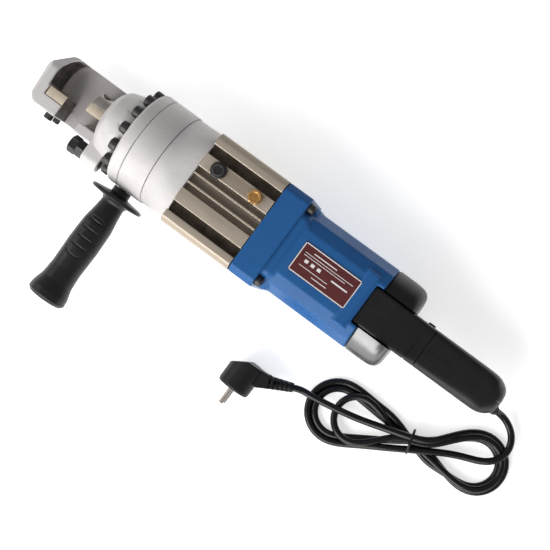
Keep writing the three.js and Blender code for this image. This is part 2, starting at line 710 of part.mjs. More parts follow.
const TRIGGER = { x: [-252, -206], half: 9 };
const LOCK_BUTTON_X = -188;
const shell = cut(
  handleShell(),
  box([TRIGGER.x[0] - 1, TRIGGER.x[1] + 1], [-TRIGGER.half - 0.5, TRIGGER.half + 0.5], [-60, -12]),
  bar('y', [-40, 0], 4.6, [LOCK_BUTTON_X, 0], 14),
  alongGuard(-6, 60, 7.4, 7.4),
);
const front = GRIP_FRONT + GAP / 2;
const back = GRIP_FRONT - GAP / 2;
place('handle_root', shell.intersect(box([front, -100], [-60, 60], [-80, 80])), blackPlastic);
place('grip_left', shell.intersect(box([-300, back], [GAP / 2, 60], [-80, 80])), blackPlastic);
place('grip_right', shell.intersect(box([-300, back], [-60, -GAP / 2], [-80, 80])), blackPlastic);

place('trigger', joined(
  box(TRIGGER.x, [-TRIGGER.half, TRIGGER.half], [-33, -19]),
  pushed('y', outline([
    [TRIGGER.x[0], -30], [TRIGGER.x[0] + 5, -36], [-230, -37.5], [TRIGGER.x[1] - 5, -36],
    [TRIGGER.x[1], -30],
  ]), [-TRIGGER.half, TRIGGER.half]),
), blackPlastic);
place('lock_button', joined(
  bar('y', [-24.4, -13], 4.2, [0, 0], 14),
  bar('y', [-18.6, -13], 5.6, [0, 0], 14),
), blackPlastic, machine, [LOCK_BUTTON_X, 0, 0]);
place('switch_body', box([-250, -208], [-10, 10], [-13, 10]), blackPlastic);

// ================================================================ side handle
const GRIP_AXIS = [SIDE_HANDLE_X, 0];
const STUD = [41, 78];
place('side_handle_stud', bar('y', STUD, 3.9, GRIP_AXIS, 12), plainSteel);
place('side_handle_grip', cut(
  turned('y', [
    [54.4, 0], [54.4, 10.4], [62, 10.4], [64, 30], [67.4, 30.5], [70, 14], [73, 13],
    [84, 14.2], [100, 16.8], [125, 17.5], [155, 16.8], [170, 17.8], [184, 21.4], [191, 22],
    [SIDE_GRIP_END, 18], [SIDE_GRIP_END, 0],
  ], 22, GRIP_AXIS),
  bar('y', [50, 79], 4.4, GRIP_AXIS, 12),
), blackPlastic);

// ================================================================ cord
const cordGroup = new THREE.Group();
machine.add(cordGroup);
place('cord_guard', alongGuard(0, GUARD_LENGTH, 7, 5.2), rubber, cordGroup);

const LYING = FLOOR + CORD_R;          // height of the cord's middle where it lies on the surface
const CROSSING = LYING + 2 * CORD_R;   // and where it lies on another strand
const HANK_HEIGHT = 20;

// Down from the guard and round, still above the strands of the hank that it will cross.
const EXIT_ROUTE = [
  [-291.3, 9, -31.4], [-295.6, 9, -36.4], [-300.6, 9.2, -40.4], [-306.6, 10, -43.4],
  [-313, 12.4, -44.9], [-319.2, 17, -45.2], [-323.8, 23, -44.6], [-326, 29, -43.6],
  [-326.2, 33.5, -43],
];
const PLUG_ROUTE = [
  [-123.7, 112.6, CROSSING], [-119.5, 112.9, CROSSING], [-114.5, 114.2, CROSSING + 0.8],
  [-109.8, 116.1, CROSSING + 1.5],
];
function cordAlong(route, steps) {
  return tube(route.map((point) => new THREE.Vector3(...point)), CORD_R, 8, steps);
}
place('cord_exit_run', cordAlong(EXIT_ROUTE, 12), cordRubber, cordGroup);
place('cord_plug_run', cordAlong(PLUG_ROUTE, 3), cordRubber, cordGroup);

// The folded cord: a figure-of-eight bundle drawn in at its waist.
const HANK = [
  [-240, 73], [-262, 52], [-288, 37], [-312, 34], [-334, 34], [-342, 41], [-346, 54], [-344, 68],
  [-338, 82], [-328, 96], [-314, 104], [-286, 109], [-258, 107], [-238, 104], [-216, 121],
  [-194, 136], [-171, 143.5], [-147, 140.5], [-130, 130], [-124.5, 120], [-124.5, 104],
  [-130, 90], [-144, 77], [-166, 71.5], [-192, 69.5], [-220, 71],
];
place('cord_hank', pushed('z', outline(HANK), [FLOOR, FLOOR + HANK_HEIGHT]), cordRubber, cordGroup);

const PLUG = { x: -57.5, z: FLOOR + 18.5, face: 155 };
const PIN_SPACING = 19;
const PIN_LENGTH = 19;
const RELIEF_START = new THREE.Vector3(-76, 131, PLUG.z);
const RELIEF_END = new THREE.Vector3(-109.2, 116.4, CROSSING + 1.6);

function plugBody() {
  const round = turned('y', [
    [118, 0], [118, 18.4], [152, 18.4], [PLUG.face, 17.4], [PLUG.face, 0],
  ], 28, [PLUG.x, PLUG.z]);
  const plan = pushed('z', outline([
    [-39, 156], [-39, 132.5], [-57.5, 121], [-77, 121], [-77, 156],
  ]), [FLOOR, 0]);
  const shoulder = box([-79, PLUG.x], [122, 139], [PLUG.z - 9, PLUG.z + 9]);
  const direction = RELIEF_END.clone().sub(RELIEF_START);
  const sleeve = new THREE.CylinderGeometry(5, 7.8, direction.length(), 14);
  const relief = solid(sleeve, alongLine(RELIEF_START, direction, direction.length() / 2));
  return joined(round.intersect(plan), shoulder, relief);
}
place('plug_body', plugBody(), rubber, cordGroup);
for (const [level, sign] of [['upper', 1], ['lower', -1]]) {
  const pin = bar('y', [PLUG.face + GAP, PLUG.face + PIN_LENGTH], 2.4, [0, 0], 12);
  place(`plug_pin_${level}`, pin, plainSteel, cordGroup, [PLUG.x, 0, PLUG.z + sign * PIN_SPACING / 2]);
}

export default group;
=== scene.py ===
"""Looks of a portable hydraulic rebar cutter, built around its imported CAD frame.

Shapes are drawn in millimetres in the tool's own frame: X runs forward along the tool's axis to the
cutting head, Y towards the side handle and Z up, with y = 0, z = 0 on the axis. at() and placed()
carry them into the shared frame, in metres.
"""
import json
import math

import bmesh
import bpy
from mathutils import Matrix, Vector


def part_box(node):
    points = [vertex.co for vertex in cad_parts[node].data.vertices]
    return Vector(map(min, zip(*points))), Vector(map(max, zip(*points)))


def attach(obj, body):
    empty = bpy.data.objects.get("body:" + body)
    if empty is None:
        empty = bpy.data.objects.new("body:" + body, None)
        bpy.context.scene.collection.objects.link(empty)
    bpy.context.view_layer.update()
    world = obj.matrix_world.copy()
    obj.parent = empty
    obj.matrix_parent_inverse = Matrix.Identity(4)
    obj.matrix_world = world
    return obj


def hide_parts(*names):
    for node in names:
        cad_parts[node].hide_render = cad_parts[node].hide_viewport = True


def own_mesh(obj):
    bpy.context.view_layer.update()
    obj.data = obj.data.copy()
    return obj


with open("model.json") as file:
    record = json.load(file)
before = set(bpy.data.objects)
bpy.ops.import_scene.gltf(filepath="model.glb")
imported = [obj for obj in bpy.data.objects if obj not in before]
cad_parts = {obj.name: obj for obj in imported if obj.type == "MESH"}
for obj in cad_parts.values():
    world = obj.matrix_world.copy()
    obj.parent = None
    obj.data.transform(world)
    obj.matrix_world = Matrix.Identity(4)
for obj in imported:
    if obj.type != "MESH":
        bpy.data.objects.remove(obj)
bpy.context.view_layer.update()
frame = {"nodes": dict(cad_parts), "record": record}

# ---------------------------------------------------------------- driving dimensions, millimetres
MM = 0.001
CYLINDER_BACK = 98                      # x of the cylinder's rear face, which places the tool's frame
BODY = 54                               # half width of the round and square sections
FLOOR = -BODY                           # z of the surface that the machine lies on

HEAD_BACK, HEAD_FLANGE, DOME_FRONT = 161.4, 176, 213
NOSE_TIP, NOSE_TOP, NOSE_RIGHT, NOSE_LEFT = 297, 22, -30, 35
SPINE_BOTTOM, THROAT_FLOOR = -45, -20
BLADE_FACE, SHEAR_PLANE = 256, 10
RING_BACK, PUMP_BACK, GEAR_BACK = 131, 94, 9
FLANGE_BACK, BARREL_BACK, ROOT_FRONT = -20.5, -130, -122.3
COVER_BACK, GRIP_FRONT, HANDLE_END = -169, -196, -289.5
BOLT_COUNT, BOLT_CIRCLE = 14, 46.5
STOPPER = (46, 0)
FILL_PLUG, BLEED_SCREW = (74, -21), (28, -21)
VALVE_X = 121
CORNER = 44.5
HANDLE_HALF = 22.2
SIDE_HANDLE_X, SIDE_GRIP_END = 155.2, 195
CORD_R = 3.85
NOSE_RIDGE = (-8, NOSE_TOP)             # y, z where the nose's flat top turns down to its right side
NOSE_SLOPE = 0.5                        # how steeply it goes down from there
PISTON_ROD, ROD_BORE = 16, 16.7
SPRING_BORE = 30.2
THROUGH = (-60, 60)                     # a span that passes right through the machine

low, high = (Vector(corner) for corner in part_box("cylinder"))
TOOL = Vector((low.x - CYLINDER_BACK * MM, (low.y + high.y) / 2, (low.z + high.z) / 2))


def at(x, y, z):
    return TOOL + Vector((x, y, z)) * MM


# ---------------------------------------------------------------- camera
CAMERA_PLACE = (-0.21231, -0.07647, 1.46728)
CAMERA_RIGHT = (-0.79734, -0.59195, -0.11768)
CAMERA_UP = (0.59000, -0.80556, 0.05451)


def add_camera():
    right, up = Vector(CAMERA_RIGHT), Vector(CAMERA_UP)
    back = right.cross(up).normalized()
    data = bpy.data.cameras.new("camera")
    data.lens = 90.33
    data.sensor_width = 36
    camera = bpy.data.objects.new("camera", data)
    bpy.context.scene.collection.objects.link(camera)
    turn = Matrix((right, up, back)).transposed().to_4x4()
    camera.matrix_world = Matrix.Translation(Vector(CAMERA_PLACE)) @ turn
    bpy.context.scene.camera = camera


add_camera()


# ---------------------------------------------------------------- materials
def node(tree, kind, inputs=None, **settings):
    made = tree.nodes.new("ShaderNode" + kind)
    for name, value in settings.items():
        setattr(made, name, value)
    for name, value in (inputs or {}).items():
        if isinstance(value, bpy.types.NodeSocket):
            tree.links.new(value, made.inputs[name])
        else:
            made.inputs[name].default_value = value
    return made


def grain(tree, scale, detail=3.0, stretch=(1, 1, 1), warp=0.0):
    """Noise in the piece's own space; scale counts features per metre."""
    place_in = node(tree, "TexCoord").outputs["Object"]
    mapping = node(tree, "Mapping", {"Vector": place_in, "Scale": stretch})
    noise = node(tree, "TexNoise", {
        "Vector": mapping.outputs["Vector"], "Scale": scale, "Detail": detail, "Distortion": warp,
    })
    return noise.outputs["Fac"]


def spread(tree, value, low_in, high_in, low_out, high_out):
    return node(tree, "MapRange", {
        "Value": value, "From Min": low_in, "From Max": high_in, "To Min": low_out, "To Max": high_out,
    }).outputs["Result"]


def mixed(tree, share, first, second):
    made = node(tree, "Mix", data_type="RGBA")
    tree.links.new(share, made.inputs[0])
    for socket, value in ((made.inputs[6], first), (made.inputs[7], second)):
        if isinstance(value, bpy.types.NodeSocket):
            tree.links.new(value, socket)
        else:
            socket.default_value = (*value, 1)
    return made.outputs[2]


def calculated(tree, operation, first, second=0.0):
    return node(tree, "Math", {0: first, 1: second}, operation=operation).outputs[0]


def tool_place(tree):
    """x, y and z of the shaded point in the tool's frame, in millimetres."""
    place_in = node(tree, "TexCoord").outputs["Object"]
    moved = node(tree, "Mapping", {
        "Vector": place_in, "Location": tuple(-TOOL / MM), "Scale": (1 / MM, 1 / MM, 1 / MM),
    })
    return node(tree, "SeparateXYZ", {"Vector": moved.outputs["Vector"]}).outputs


def within(tree, spans, soft=0.8):
    """One inside a box given by its x, y and z spans, fading out across its sides."""
    share = 1.0
    for value, (start, end) in zip(tool_place(tree), spans):
        for edge, sign in ((start, 1), (end, -1)):
            side = spread(tree, value, edge - soft * sign, edge + soft * sign, 0, 1)
            share = calculated(tree, "MULTIPLY", share, side)
    return share


def sunk(tree, bottom, top):
    """One at the floor of the grooves round the square section, none at its outer faces."""
    across = tool_place(tree)
    reach = calculated(tree, "MAXIMUM", *[calculated(tree, "ABSOLUTE", across[i]) for i in (1, 2)])
    return spread(tree, reach, bottom, top, 1, 0)


def surface(name, colour, patch, rough, bumps, metallic=0.0, patch_scale=25, stretch=(1, 1, 1),
            edge=None, dirt=None, stains=(), **fixed):
    """A procedural finish: patchy colour, uneven roughness, layered bumps, worn edges, dirt, stains and
    painted shade.

    bumps holds (scale, depth in mm, stretch) rows, edge and dirt are (colour, amount) pairs, stains
    holds (where, colour, amount) rows of real stains and of painted shade, and fixed sets the shader's other
    sockets.
    """
    material = bpy.data.materials.new(name)
    material.use_nodes = True
    tree = material.node_tree
    shader = tree.nodes["Principled BSDF"]
    shader.inputs["Metallic"].default_value = metallic
    for socket, value in fixed.items():
        shader.inputs[socket.replace("_", " ")].default_value = value
    share = spread(tree, grain(tree, patch_scale, 5, stretch, 0.4), 0.32, 0.68, 0, 1)
    base = mixed(tree, share, colour, patch)
    if dirt:
        spots = spread(tree, grain(tree, 170, 6, (1, 1, 1), 0.8), 0.62, 0.74, 0, dirt[1])
        base = mixed(tree, spots, base, dirt[0])
    if edge:
        pointed = node(tree, "NewGeometry").outputs["Pointiness"]
        worn = spread(tree, pointed, 0.53, 0.62, 0, edge[1])
        base = mixed(tree, worn, base, edge[0])
    # each row lays a real stain or painted shade over its masked area
    for where, tint, amount in stains:
        cloudy = spread(tree, grain(tree, 110, 5, (1, 1, 1), 0.6), 0.3, 0.6, amount * 0.86, amount)
        base = mixed(tree, calculated(tree, "MULTIPLY", where(tree), cloudy), base, tint)
    tree.links.new(base, shader.inputs["Base Color"])
    uneven = spread(tree, grain(tree, patch_scale * 6, 4, stretch), 0.3, 0.7, *rough)
    tree.links.new(uneven, shader.inputs["Roughness"])
    normal = None
    for scale, depth, layer_stretch in bumps:
        inputs = {"Height": grain(tree, scale, 2, layer_stretch), "Distance": depth * MM, "Strength": 1.0}
        if normal:
            inputs["Normal"] = normal
        normal = node(tree, "Bump", inputs).outputs["Normal"]
    if normal:
        tree.links.new(normal, shader.inputs["Normal"])
    return material


EVEN = (1, 1, 1)
ALONG_X = (0.02, 1, 1)
# Where the oiled surface of the jaw's throat lies, and where painted shade darkens the nose's recess wall,
# the nose's back face and the fixed blade's back face, in the tool's frame.
THROAT_SPANS = ((213, 284), (-29.5, 23.6), (-24, -15))
RECESS_SHADE_SPANS = ((258, 287), (-29, SHEAR_PLANE), (-12, 30))
BACK_FACE_SHADE_SPANS = ((253, 256.8), (-31, 34.2), (-17, 21))
BLADE_BACK_SHADE_SPANS = ((253, 256.3), (5, 25), (-30, 21))
# The nose's slanted right corner: the way it faces and how far out it lies along that way.
CORNER_WAY, CORNER_REACH = (0.766, -0.645), 232.7


def recess_wall_shade(tree):
    """Where painted shade darkens the wall of the nose's recess: below the sloping top face and inside the
    slanted outer corner.
    """
    along, across, up = tool_place(tree)
    drop = calculated(tree, "MAXIMUM", calculated(tree, "SUBTRACT", NOSE_RIDGE[0], across))
    level = calculated(tree, "ADD", up, calculated(tree, "MULTIPLY", drop, NOSE_SLOPE))
    below = spread(tree, level, NOSE_TOP - 2.4, NOSE_TOP - 1.2, 1, 0)
    outward = [calculated(tree, "MULTIPLY", value, part)
               for value, part in zip((along, across), CORNER_WAY)]
    reach = calculated(tree, "ADD", *outward)
    inside = spread(tree, reach, CORNER_REACH - 3.3, CORNER_REACH - 1.5, 1, 0)
    kept = calculated(tree, "MULTIPLY", below, inside)
    return calculated(tree, "MULTIPLY", within(tree, RECESS_SHADE_SPANS, 2.5), kept)


def groove_shade(tree):
    """Painted shade on the groove floors between the gear case's fins, fainter in the middle of each side.
    """
    _, across, up = tool_place(tree)
    sideways, upright = (calculated(tree, "ABSOLUTE", value) for value in (across, up))
    offset = calculated(tree, "MINIMUM", sideways, upright)
    return calculated(tree, "MULTIPLY", sunk(tree, 45.6, 53.4), spread(tree, offset, 14, 27, 0.4, 1))


RECIPES = {
    "silver_paint": dict(
        colour=(0.60, 0.58, 0.565), patch=(0.53, 0.50, 0.50), rough=(0.42, 0.6),
        bumps=[(380, 0.2, EVEN), (1500, 0.03, EVEN)], metallic=0.15, patch_scale=14,
        dirt=((0.30, 0.25, 0.22), 0.22), Specular_IOR_Level=0.3, stains=[
            (lambda tree: within(tree, THROAT_SPANS, 1.5), (0.36, 0.31, 0.27), 0.22),
            # painted shade: the recess wall, which lies in shadow, darkened almost to black
            (recess_wall_shade, (0.034, 0.026, 0.024), 1.0),
            # painted shade: the nose's back face beside the throat, darkened almost to black
            (lambda tree: within(tree, BACK_FACE_SHADE_SPANS, 0.5), (0.055, 0.045, 0.04), 1.0),
        ],
    ),
    "anodised": dict(
        colour=(0.30, 0.243, 0.182), patch=(0.262, 0.21, 0.156), rough=(0.32, 0.46),
        bumps=[(1300, 0.02, ALONG_X), (4000, 0.012, ALONG_X)], metallic=0.55, patch_scale=30,
        stretch=(0.15, 1, 1), edge=((0.60, 0.53, 0.44), 0.8), Specular_IOR_Level=0.25,
        # painted shade: the fin grooves' floors darkened almost to black
        stains=[(groove_shade, (0.05, 0.036, 0.025), 1.0)],
    ),
    "blue_paint": dict(
        colour=(0.020, 0.108, 0.30), patch=(0.017, 0.09, 0.262), rough=(0.24, 0.34),
        bumps=[(700, 0.012, EVEN), (90, 0.06, EVEN)], patch_scale=14, Specular_IOR_Level=0.18,
    ),
    "black_plastic": dict(
        colour=(0.0085, 0.0085, 0.008), patch=(0.0115, 0.0115, 0.011), rough=(0.3, 0.42),
        bumps=[(2600, 0.015, EVEN)], patch_scale=18, Specular_IOR_Level=0.3,
    ),
    # A lit copy of black_plastic: the left rear cover is the same plastic as the right one, made more
    # reflective here so that it looks lit from that side.
    "gloss_black": dict(
        colour=(0.006, 0.0052, 0.006), patch=(0.008, 0.0068, 0.008), rough=(0.3, 0.36),
        bumps=[(1600, 0.01, EVEN)], patch_scale=10, Specular_IOR_Level=0.85, IOR=1.9,
    ),
    "black_steel": dict(
        colour=(0.016, 0.016, 0.0165), patch=(0.03, 0.028, 0.027), rough=(0.3, 0.45),
        bumps=[(1800, 0.02, EVEN)], metallic=0.4, patch_scale=220, edge=((0.20, 0.19, 0.18), 0.7),
    ),
    "blade_steel": dict(
        colour=(0.60, 0.515, 0.40), patch=(0.50, 0.42, 0.325), rough=(0.4, 0.55),
        bumps=[(2500, 0.012, (1, 0.03, 1))], metallic=0.3, patch_scale=60,
        dirt=((0.30, 0.22, 0.16), 0.35), stains=[
            # painted shade: the fixed blade's back face, darkened almost to black
            (lambda tree: within(tree, BLADE_BACK_SHADE_SPANS, 0.3), (0.04, 0.032, 0.028), 1.0),
        ],
    ),
    "steel": dict(
        colour=(0.40, 0.36, 0.33), patch=(0.30, 0.265, 0.24), rough=(0.3, 0.46),
        bumps=[(3000, 0.012, ALONG_X)], metallic=0.6, patch_scale=70, dirt=((0.14, 0.10, 0.08), 0.4),
    ),
    "iron": dict(
        colour=(0.10, 0.10, 0.105), patch=(0.15, 0.145, 0.14), rough=(0.5, 0.7),
        bumps=[(900, 0.15, EVEN)], metallic=0.6, patch_scale=60,
    ),
    "brass": dict(
        colour=(0.62, 0.33, 0.10), patch=(0.48, 0.24, 0.07), rough=(0.26, 0.42),
        bumps=[(2200, 0.02, EVEN)], metallic=0.8, patch_scale=160, edge=((0.85, 0.66, 0.40), 0.6),
    ),
    "copper": dict(
        colour=(0.68, 0.27, 0.12), patch=(0.50, 0.18, 0.08), rough=(0.3, 0.45),
        bumps=[(1600, 0.03, EVEN)], metallic=0.95, patch_scale=120,
    ),
    "carbon": dict(
        colour=(0.014, 0.014, 0.014), patch=(0.024, 0.024, 0.024), rough=(0.6, 0.8),
        bumps=[(2000, 0.04, EVEN)], patch_scale=200,
    ),
    "rubber": dict(
        colour=(0.0075, 0.0077, 0.008), patch=(0.0105, 0.0105, 0.011), rough=(0.34, 0.46),
        bumps=[(1500, 0.015, EVEN)], patch_scale=60, Specular_IOR_Level=0.22,
    ),
    "cord_rubber": dict(
        colour=(0.0035, 0.0035, 0.0038), patch=(0.005, 0.005, 0.0052), rough=(0.15, 0.2),
        bumps=[(90, 0.02, EVEN)], patch_scale=50, Specular_IOR_Level=0.35,
    ),
    "nameplate": dict(
        colour=(0.110, 0.024, 0.024), patch=(0.094, 0.020, 0.021), rough=(0.32, 0.44),
        bumps=[(900, 0.012, EVEN)], metallic=0.1, patch_scale=40, Specular_IOR_Level=0.3,
    ),
}
FINISHES = {name: surface(name, **recipe) for name, recipe in RECIPES.items()}
PRINT_WHITE = surface(
    "print_white", (0.80, 0.78, 0.77), (0.72, 0.69, 0.68), (0.35, 0.5), [(900, 0.01, EVEN)],
    patch_scale=60,
)


# ---------------------------------------------------------------- shapes
def circle(radius):
    return lambda angle: radius


def hexagonal(flats, limit=None):
    """Radius of a hexagon at an angle, cut off at a limit where a chamfer rounds its corners."""
    def radius(angle):
        return min(flats / 2 / math.cos(angle % (math.pi / 3) - math.pi / 6), limit or math.inf)
    return radius


def fluted(radius, depth, count):
    return lambda angle: radius - depth * (0.5 + 0.5 * math.cos(count * angle))


def spun(profile, axis="x", centre=(0, 0), steps=72, turn=0.0, closed=False):
    """A solid from rings along an axis; each ring is (station, radius or a function of the angle)."""
    bm = bmesh.new()

    def point(along, angle, radius):
        a, b = centre[0] + radius * math.cos(angle + turn), centre[1] + radius * math.sin(angle + turn)
        return {"x": (along, a, b), "y": (a, along, b), "z": (a, b, along)}[axis]

    rings = []
    for along, radius in profile:
        if radius == 0:
            rings.append([bm.verts.new(point(along, 0, 0))])
            continue
        reach = radius if callable(radius) else circle(radius)
        angles = [2 * math.pi * i / steps for i in range(steps)]
        rings.append([bm.verts.new(point(along, angle, reach(angle))) for angle in angles])
    pairs = list(zip(rings, rings[1:]))
    if closed:
        pairs.append((rings[-1], rings[0]))
    for first, second in pairs:
        for i in range(steps):
            j = (i + 1) % steps
            corners = [first[i % len(first)], first[j % len(first)], second[j % len(second)],
                       second[i % len(second)]]
            unique = list(dict.fromkeys(corners))
            if len(unique) > 2:
                bm.faces.new(unique)
    bmesh.ops.recalc_face_normals(bm, faces=bm.faces)
    return bm


def rod(start, end, radius, axis="x", centre=(0, 0), steps=72):
    return spun([(start, 0), (start, radius), (end, radius), (end, 0)], axis, centre, steps)


def softened(points, radius, steps=4, closed=True):
    """The outline with its corners rounded; a point may carry its own radius as a third number."""
    out = []
    count = len(points)
    for i, corner in enumerate(points):
        here = Vector(corner[:2])
        own = corner[2] if len(corner) > 2 else radius
        if own == 0 or (not closed and i in (0, count - 1)):
            out.append(tuple(here))
            continue
        before, after = Vector(points[i - 1][:2]) - here, Vector(points[(i + 1) % count][:2]) - here
        angle = before.angle(after, math.pi)
        run = min(own / max(math.tan(angle / 2), 0.05), 0.48 * before.length, 0.48 * after.length)
        start, end = here + before.normalized() * run, here + after.normalized() * run
        for k in range(steps + 1):
            t = k / steps
            out.append(tuple(start * (1 - t) ** 2 + here * 2 * t * (1 - t) + end * t * t))
    return out


def turned(profile, radius, corner_steps, axis="x", centre=(0, 0), steps=72):
    """A turned body whose profile has its corners rounded."""
    return spun(softened(profile, radius, corner_steps, closed=False), axis, centre, steps)


def pushed(points, axis, span):
    """An outline pushed along an axis: (y, z) points for x, (x, z) for y and (x, y) for z."""
    bm = bmesh.new()

    def point(a, b, along):
        return {"x": (along, a, b), "y": (a, along, b), "z": (a, b, along)}[axis]

    ends = [[bm.verts.new(point(a, b, along)) for a, b in points] for along in span]
    for end in ends:
        bm.faces.new(end)
    count = len(points)
    for i in range(count):
        j = (i + 1) % count
        bm.faces.new((ends[0][i], ends[0][j], ends[1][j], ends[1][i]))
    bmesh.ops.recalc_face_normals(bm, faces=bm.faces)
    return bm


def block(x, y, z):
    return pushed([(x[0], y[0]), (x[1], y[0]), (x[1], y[1]), (x[0], y[1])], "z", z)


def lofted(rings):
    """A closed body through rings of equal length, given as lists of (x, y, z) points."""
    bm = bmesh.new()
    made = [[bm.verts.new(point) for point in ring] for ring in rings]
    for first, second in zip(made, made[1:]):
        for i in range(len(first)):
            j = (i + 1) % len(first)
            bm.faces.new((first[i], first[j], second[j], second[i]))
    bm.faces.new(made[0])
    bm.faces.new(made[-1])
    bmesh.ops.recalc_face_normals(bm, faces=bm.faces)
    return bm


def together(*parts):
    """Several shapes as one mesh of separate closed bodies."""
    whole = bmesh.new()
    for part in parts:
        mesh = bpy.data.meshes.new("part")
        part.to_mesh(mesh)
        whole.from_mesh(mesh)
        part.free()
        bpy.data.meshes.remove(mesh)
    return whole


def placed(name, bm):
    """The shape as an object in the shared frame."""
    bm.transform(Matrix.Translation(TOOL) @ Matrix.Scale(MM, 4))
    mesh = bpy.data.meshes.new(name)
    bm.to_mesh(mesh)
    bm.free()
    made = bpy.data.objects.new(name, mesh)
    bpy.context.scene.collection.objects.link(made)
    return made


def settled(made):
    """Makes the object's modifiers part of its mesh."""
    graph = bpy.context.evaluated_depsgraph_get()
    mesh = bpy.data.meshes.new_from_object(made.evaluated_get(graph))
    made.modifiers.clear()
    made.data = mesh
    return made


def joined(made, other, operation):
    """Runs a boolean with another object, which it uses up."""
    step = made.modifiers.new(operation, "BOOLEAN")
    step.operation = operation
    step.solver = "EXACT"
    step.use_self = True
    step.object = other
    settled(made)
    bpy.data.objects.remove(other)
    return made


def combined(made, bm, operation):
    return joined(made, placed("tool", bm), operation)


def carved(made, *tools):
    return combined(made, together(*tools), "DIFFERENCE")


def cast_soft(made, voxel, rounds):
    """Remeshes a body finely and relaxes it, so that its edges turn soft as on a casting."""
    remesh = made.modifiers.new("remesh", "REMESH")
    remesh.mode = "VOXEL"
    remesh.voxel_size = voxel * MM
    smooth = made.modifiers.new("smooth", "SMOOTH")
    smooth.iterations = rounds
    smooth.factor = 0.5
    return settled(made)


def bevelled(made, width, segments=3, angle=32):
    step = made.modifiers.new("bevel", "BEVEL")
    step.width = width * MM
    step.segments = segments
    step.limit_method = "ANGLE"
    step.angle_limit = math.radians(angle)
    return settled(made)


def dressed(made, body, slot, *nodes, material=None, sharp=35):
    """Smooth shading, a finish, the body it rides on and the CAD nodes that it stands for."""
    mesh = made.data
    mesh.polygons.foreach_set("use_smooth", [True] * len(mesh.polygons))
    mesh.set_sharp_from_angle(angle=math.radians(sharp))
    mesh.materials.clear()
    mesh.materials.append(material or FINISHES[slot])
    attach(made, body)
    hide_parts(*nodes)
    return made


def piece(name, shape, slot, body="machine", **look):
    """A finished piece that stands for the CAD node of that name."""
    return dressed(placed(name + "_detail", shape), body, slot, name, **look)


def aimed(shape, start, end):
    """Carries a shape drawn upwards from the origin onto the line from start to end."""
    turn = Vector((0, 0, 1)).rotation_difference(end - start).to_matrix().to_4x4()
    shape.transform(Matrix.Translation(start) @ turn)
    return shape


# ---------------------------------------------------------------- cord
LYING = FLOOR + CORD_R
CROSSING = LYING + 2 * CORD_R
STACKED = CROSSING + 1.75 * CORD_R
WAIST = (-241, 88)
EXIT_ROUTE = [
    (-291.3, 9, -31.4), (-295.6, 9, -36.2), (-300.6, 9.4, -40), (-306.2, 10.8, -42.9),
    (-312, 13.4, -44.4), (-317.6, 17.2, -44.9), (-322.2, 22.2, -44.6), (-325.4, 28.2, -43.9),
    (-326.9, 34.8, -43),
]
TO_WAIST = [
    (-326.6, 41.6, CROSSING), (-323.8, 48.8, CROSSING), (-318, 56, -43), (-308.6, 62.4, -45),
    (-292.6, 68, -46.5), (-280, 74.5, -46.3), (-267, 81.5, -44.6),
]
FROM_WAIST = [
    (-214, 91.5, -40), (-199, 97, -42.6), (-184, 101.5, -43.6), (-169, 105, -43), (-154, 108, CROSSING),
    (-140, 110.4, CROSSING), (-130, 111.8, CROSSING),
]
PLUG_ROUTE = [
    (-123.7, 112.6, CROSSING), (-119.5, 112.9, CROSSING), (-114.5, 114.2, CROSSING + 0.8),
    (-109.8, 116.1, CROSSING + 1.5), (-104, 118.7, CROSSING + 2.4),
]
# One turn of the figure of eight goes out round the left lobe and back round the right one.
# Each row: lobe length, radius of its round end, height of its middle stretch above the lowest strand.
LEFT_LOBES = [(116, 33, 0), (108, 25.8, 0), (86, 26.6, 6.4)]
RIGHT_LOBES = [(95, 25.8, 0), (99, 29, 6.7), (103, 33, 0)]
LEFT_AXIS = math.radians(15)
RIGHT_AXIS = math.radians(198.8)
STRAND = 2 * CORD_R
ARC_POINTS, LINE_POINTS = 9, 4


def teardrop(length, radius):
    """Points of a lobe, as (along, across): a straight run out, a round end and a straight run back."""
    middle = length - radius
    lean = math.asin(radius / middle)
    run = math.sqrt(middle ** 2 - radius ** 2)
    out = [(run * k / LINE_POINTS * math.cos(lean), run * k / LINE_POINTS * math.sin(lean))
           for k in range(1, LINE_POINTS)]
    end = []
    for i in range(ARC_POINTS):
        angle = (math.pi / 2 + lean) * (1 - 2 * i / (ARC_POINTS - 1))
        end.append((middle + radius * math.cos(angle), radius * math.sin(angle)))
    return out + end + [(along, -across) for along, across in reversed(out)]


def lobe(length, radius, rise, axis, side, start, end):
    """Points round one lobe, leaving the waist on one side of its axis and coming back on the other.

    start and end are (sideways offset in strands, height) of the cord where it passes the waist.
    """
    points = []
    for along, across in teardrop(length, radius):
        offset, height = start if across > 0 else end
        across = side * across + offset * STRAND * math.exp(-(along / 46) ** 2)
        held = 1 / (1 + (along / 38) ** 4)
        lift = rise * (1 - 0.75 * max(0, along / length) ** 8)
        z = LYING + lift + (height - LYING - lift) * held
        x = WAIST[0] + along * math.cos(axis) - across * math.sin(axis)
        y = WAIST[1] + along * math.sin(axis) + across * math.cos(axis)
        points.append((x, y, z))
    return points


def hank_route():
    """The whole cord's middle line, from its guard through the figure of eight to the plug."""
    over = [(1, CROSSING), (0, CROSSING), (-1, CROSSING), (-0.5, STACKED)]
    under = [(-1, LYING), (0, LYING), (1, LYING)]
    route = EXIT_ROUTE + TO_WAIST
    for k, (left, right) in enumerate(zip(LEFT_LOBES, RIGHT_LOBES)):
        route += lobe(*left, LEFT_AXIS, 1, over[k], under[k])
        route += lobe(*right, RIGHT_AXIS, -1, under[k], over[k + 1])
    return route + FROM_WAIST + PLUG_ROUTE


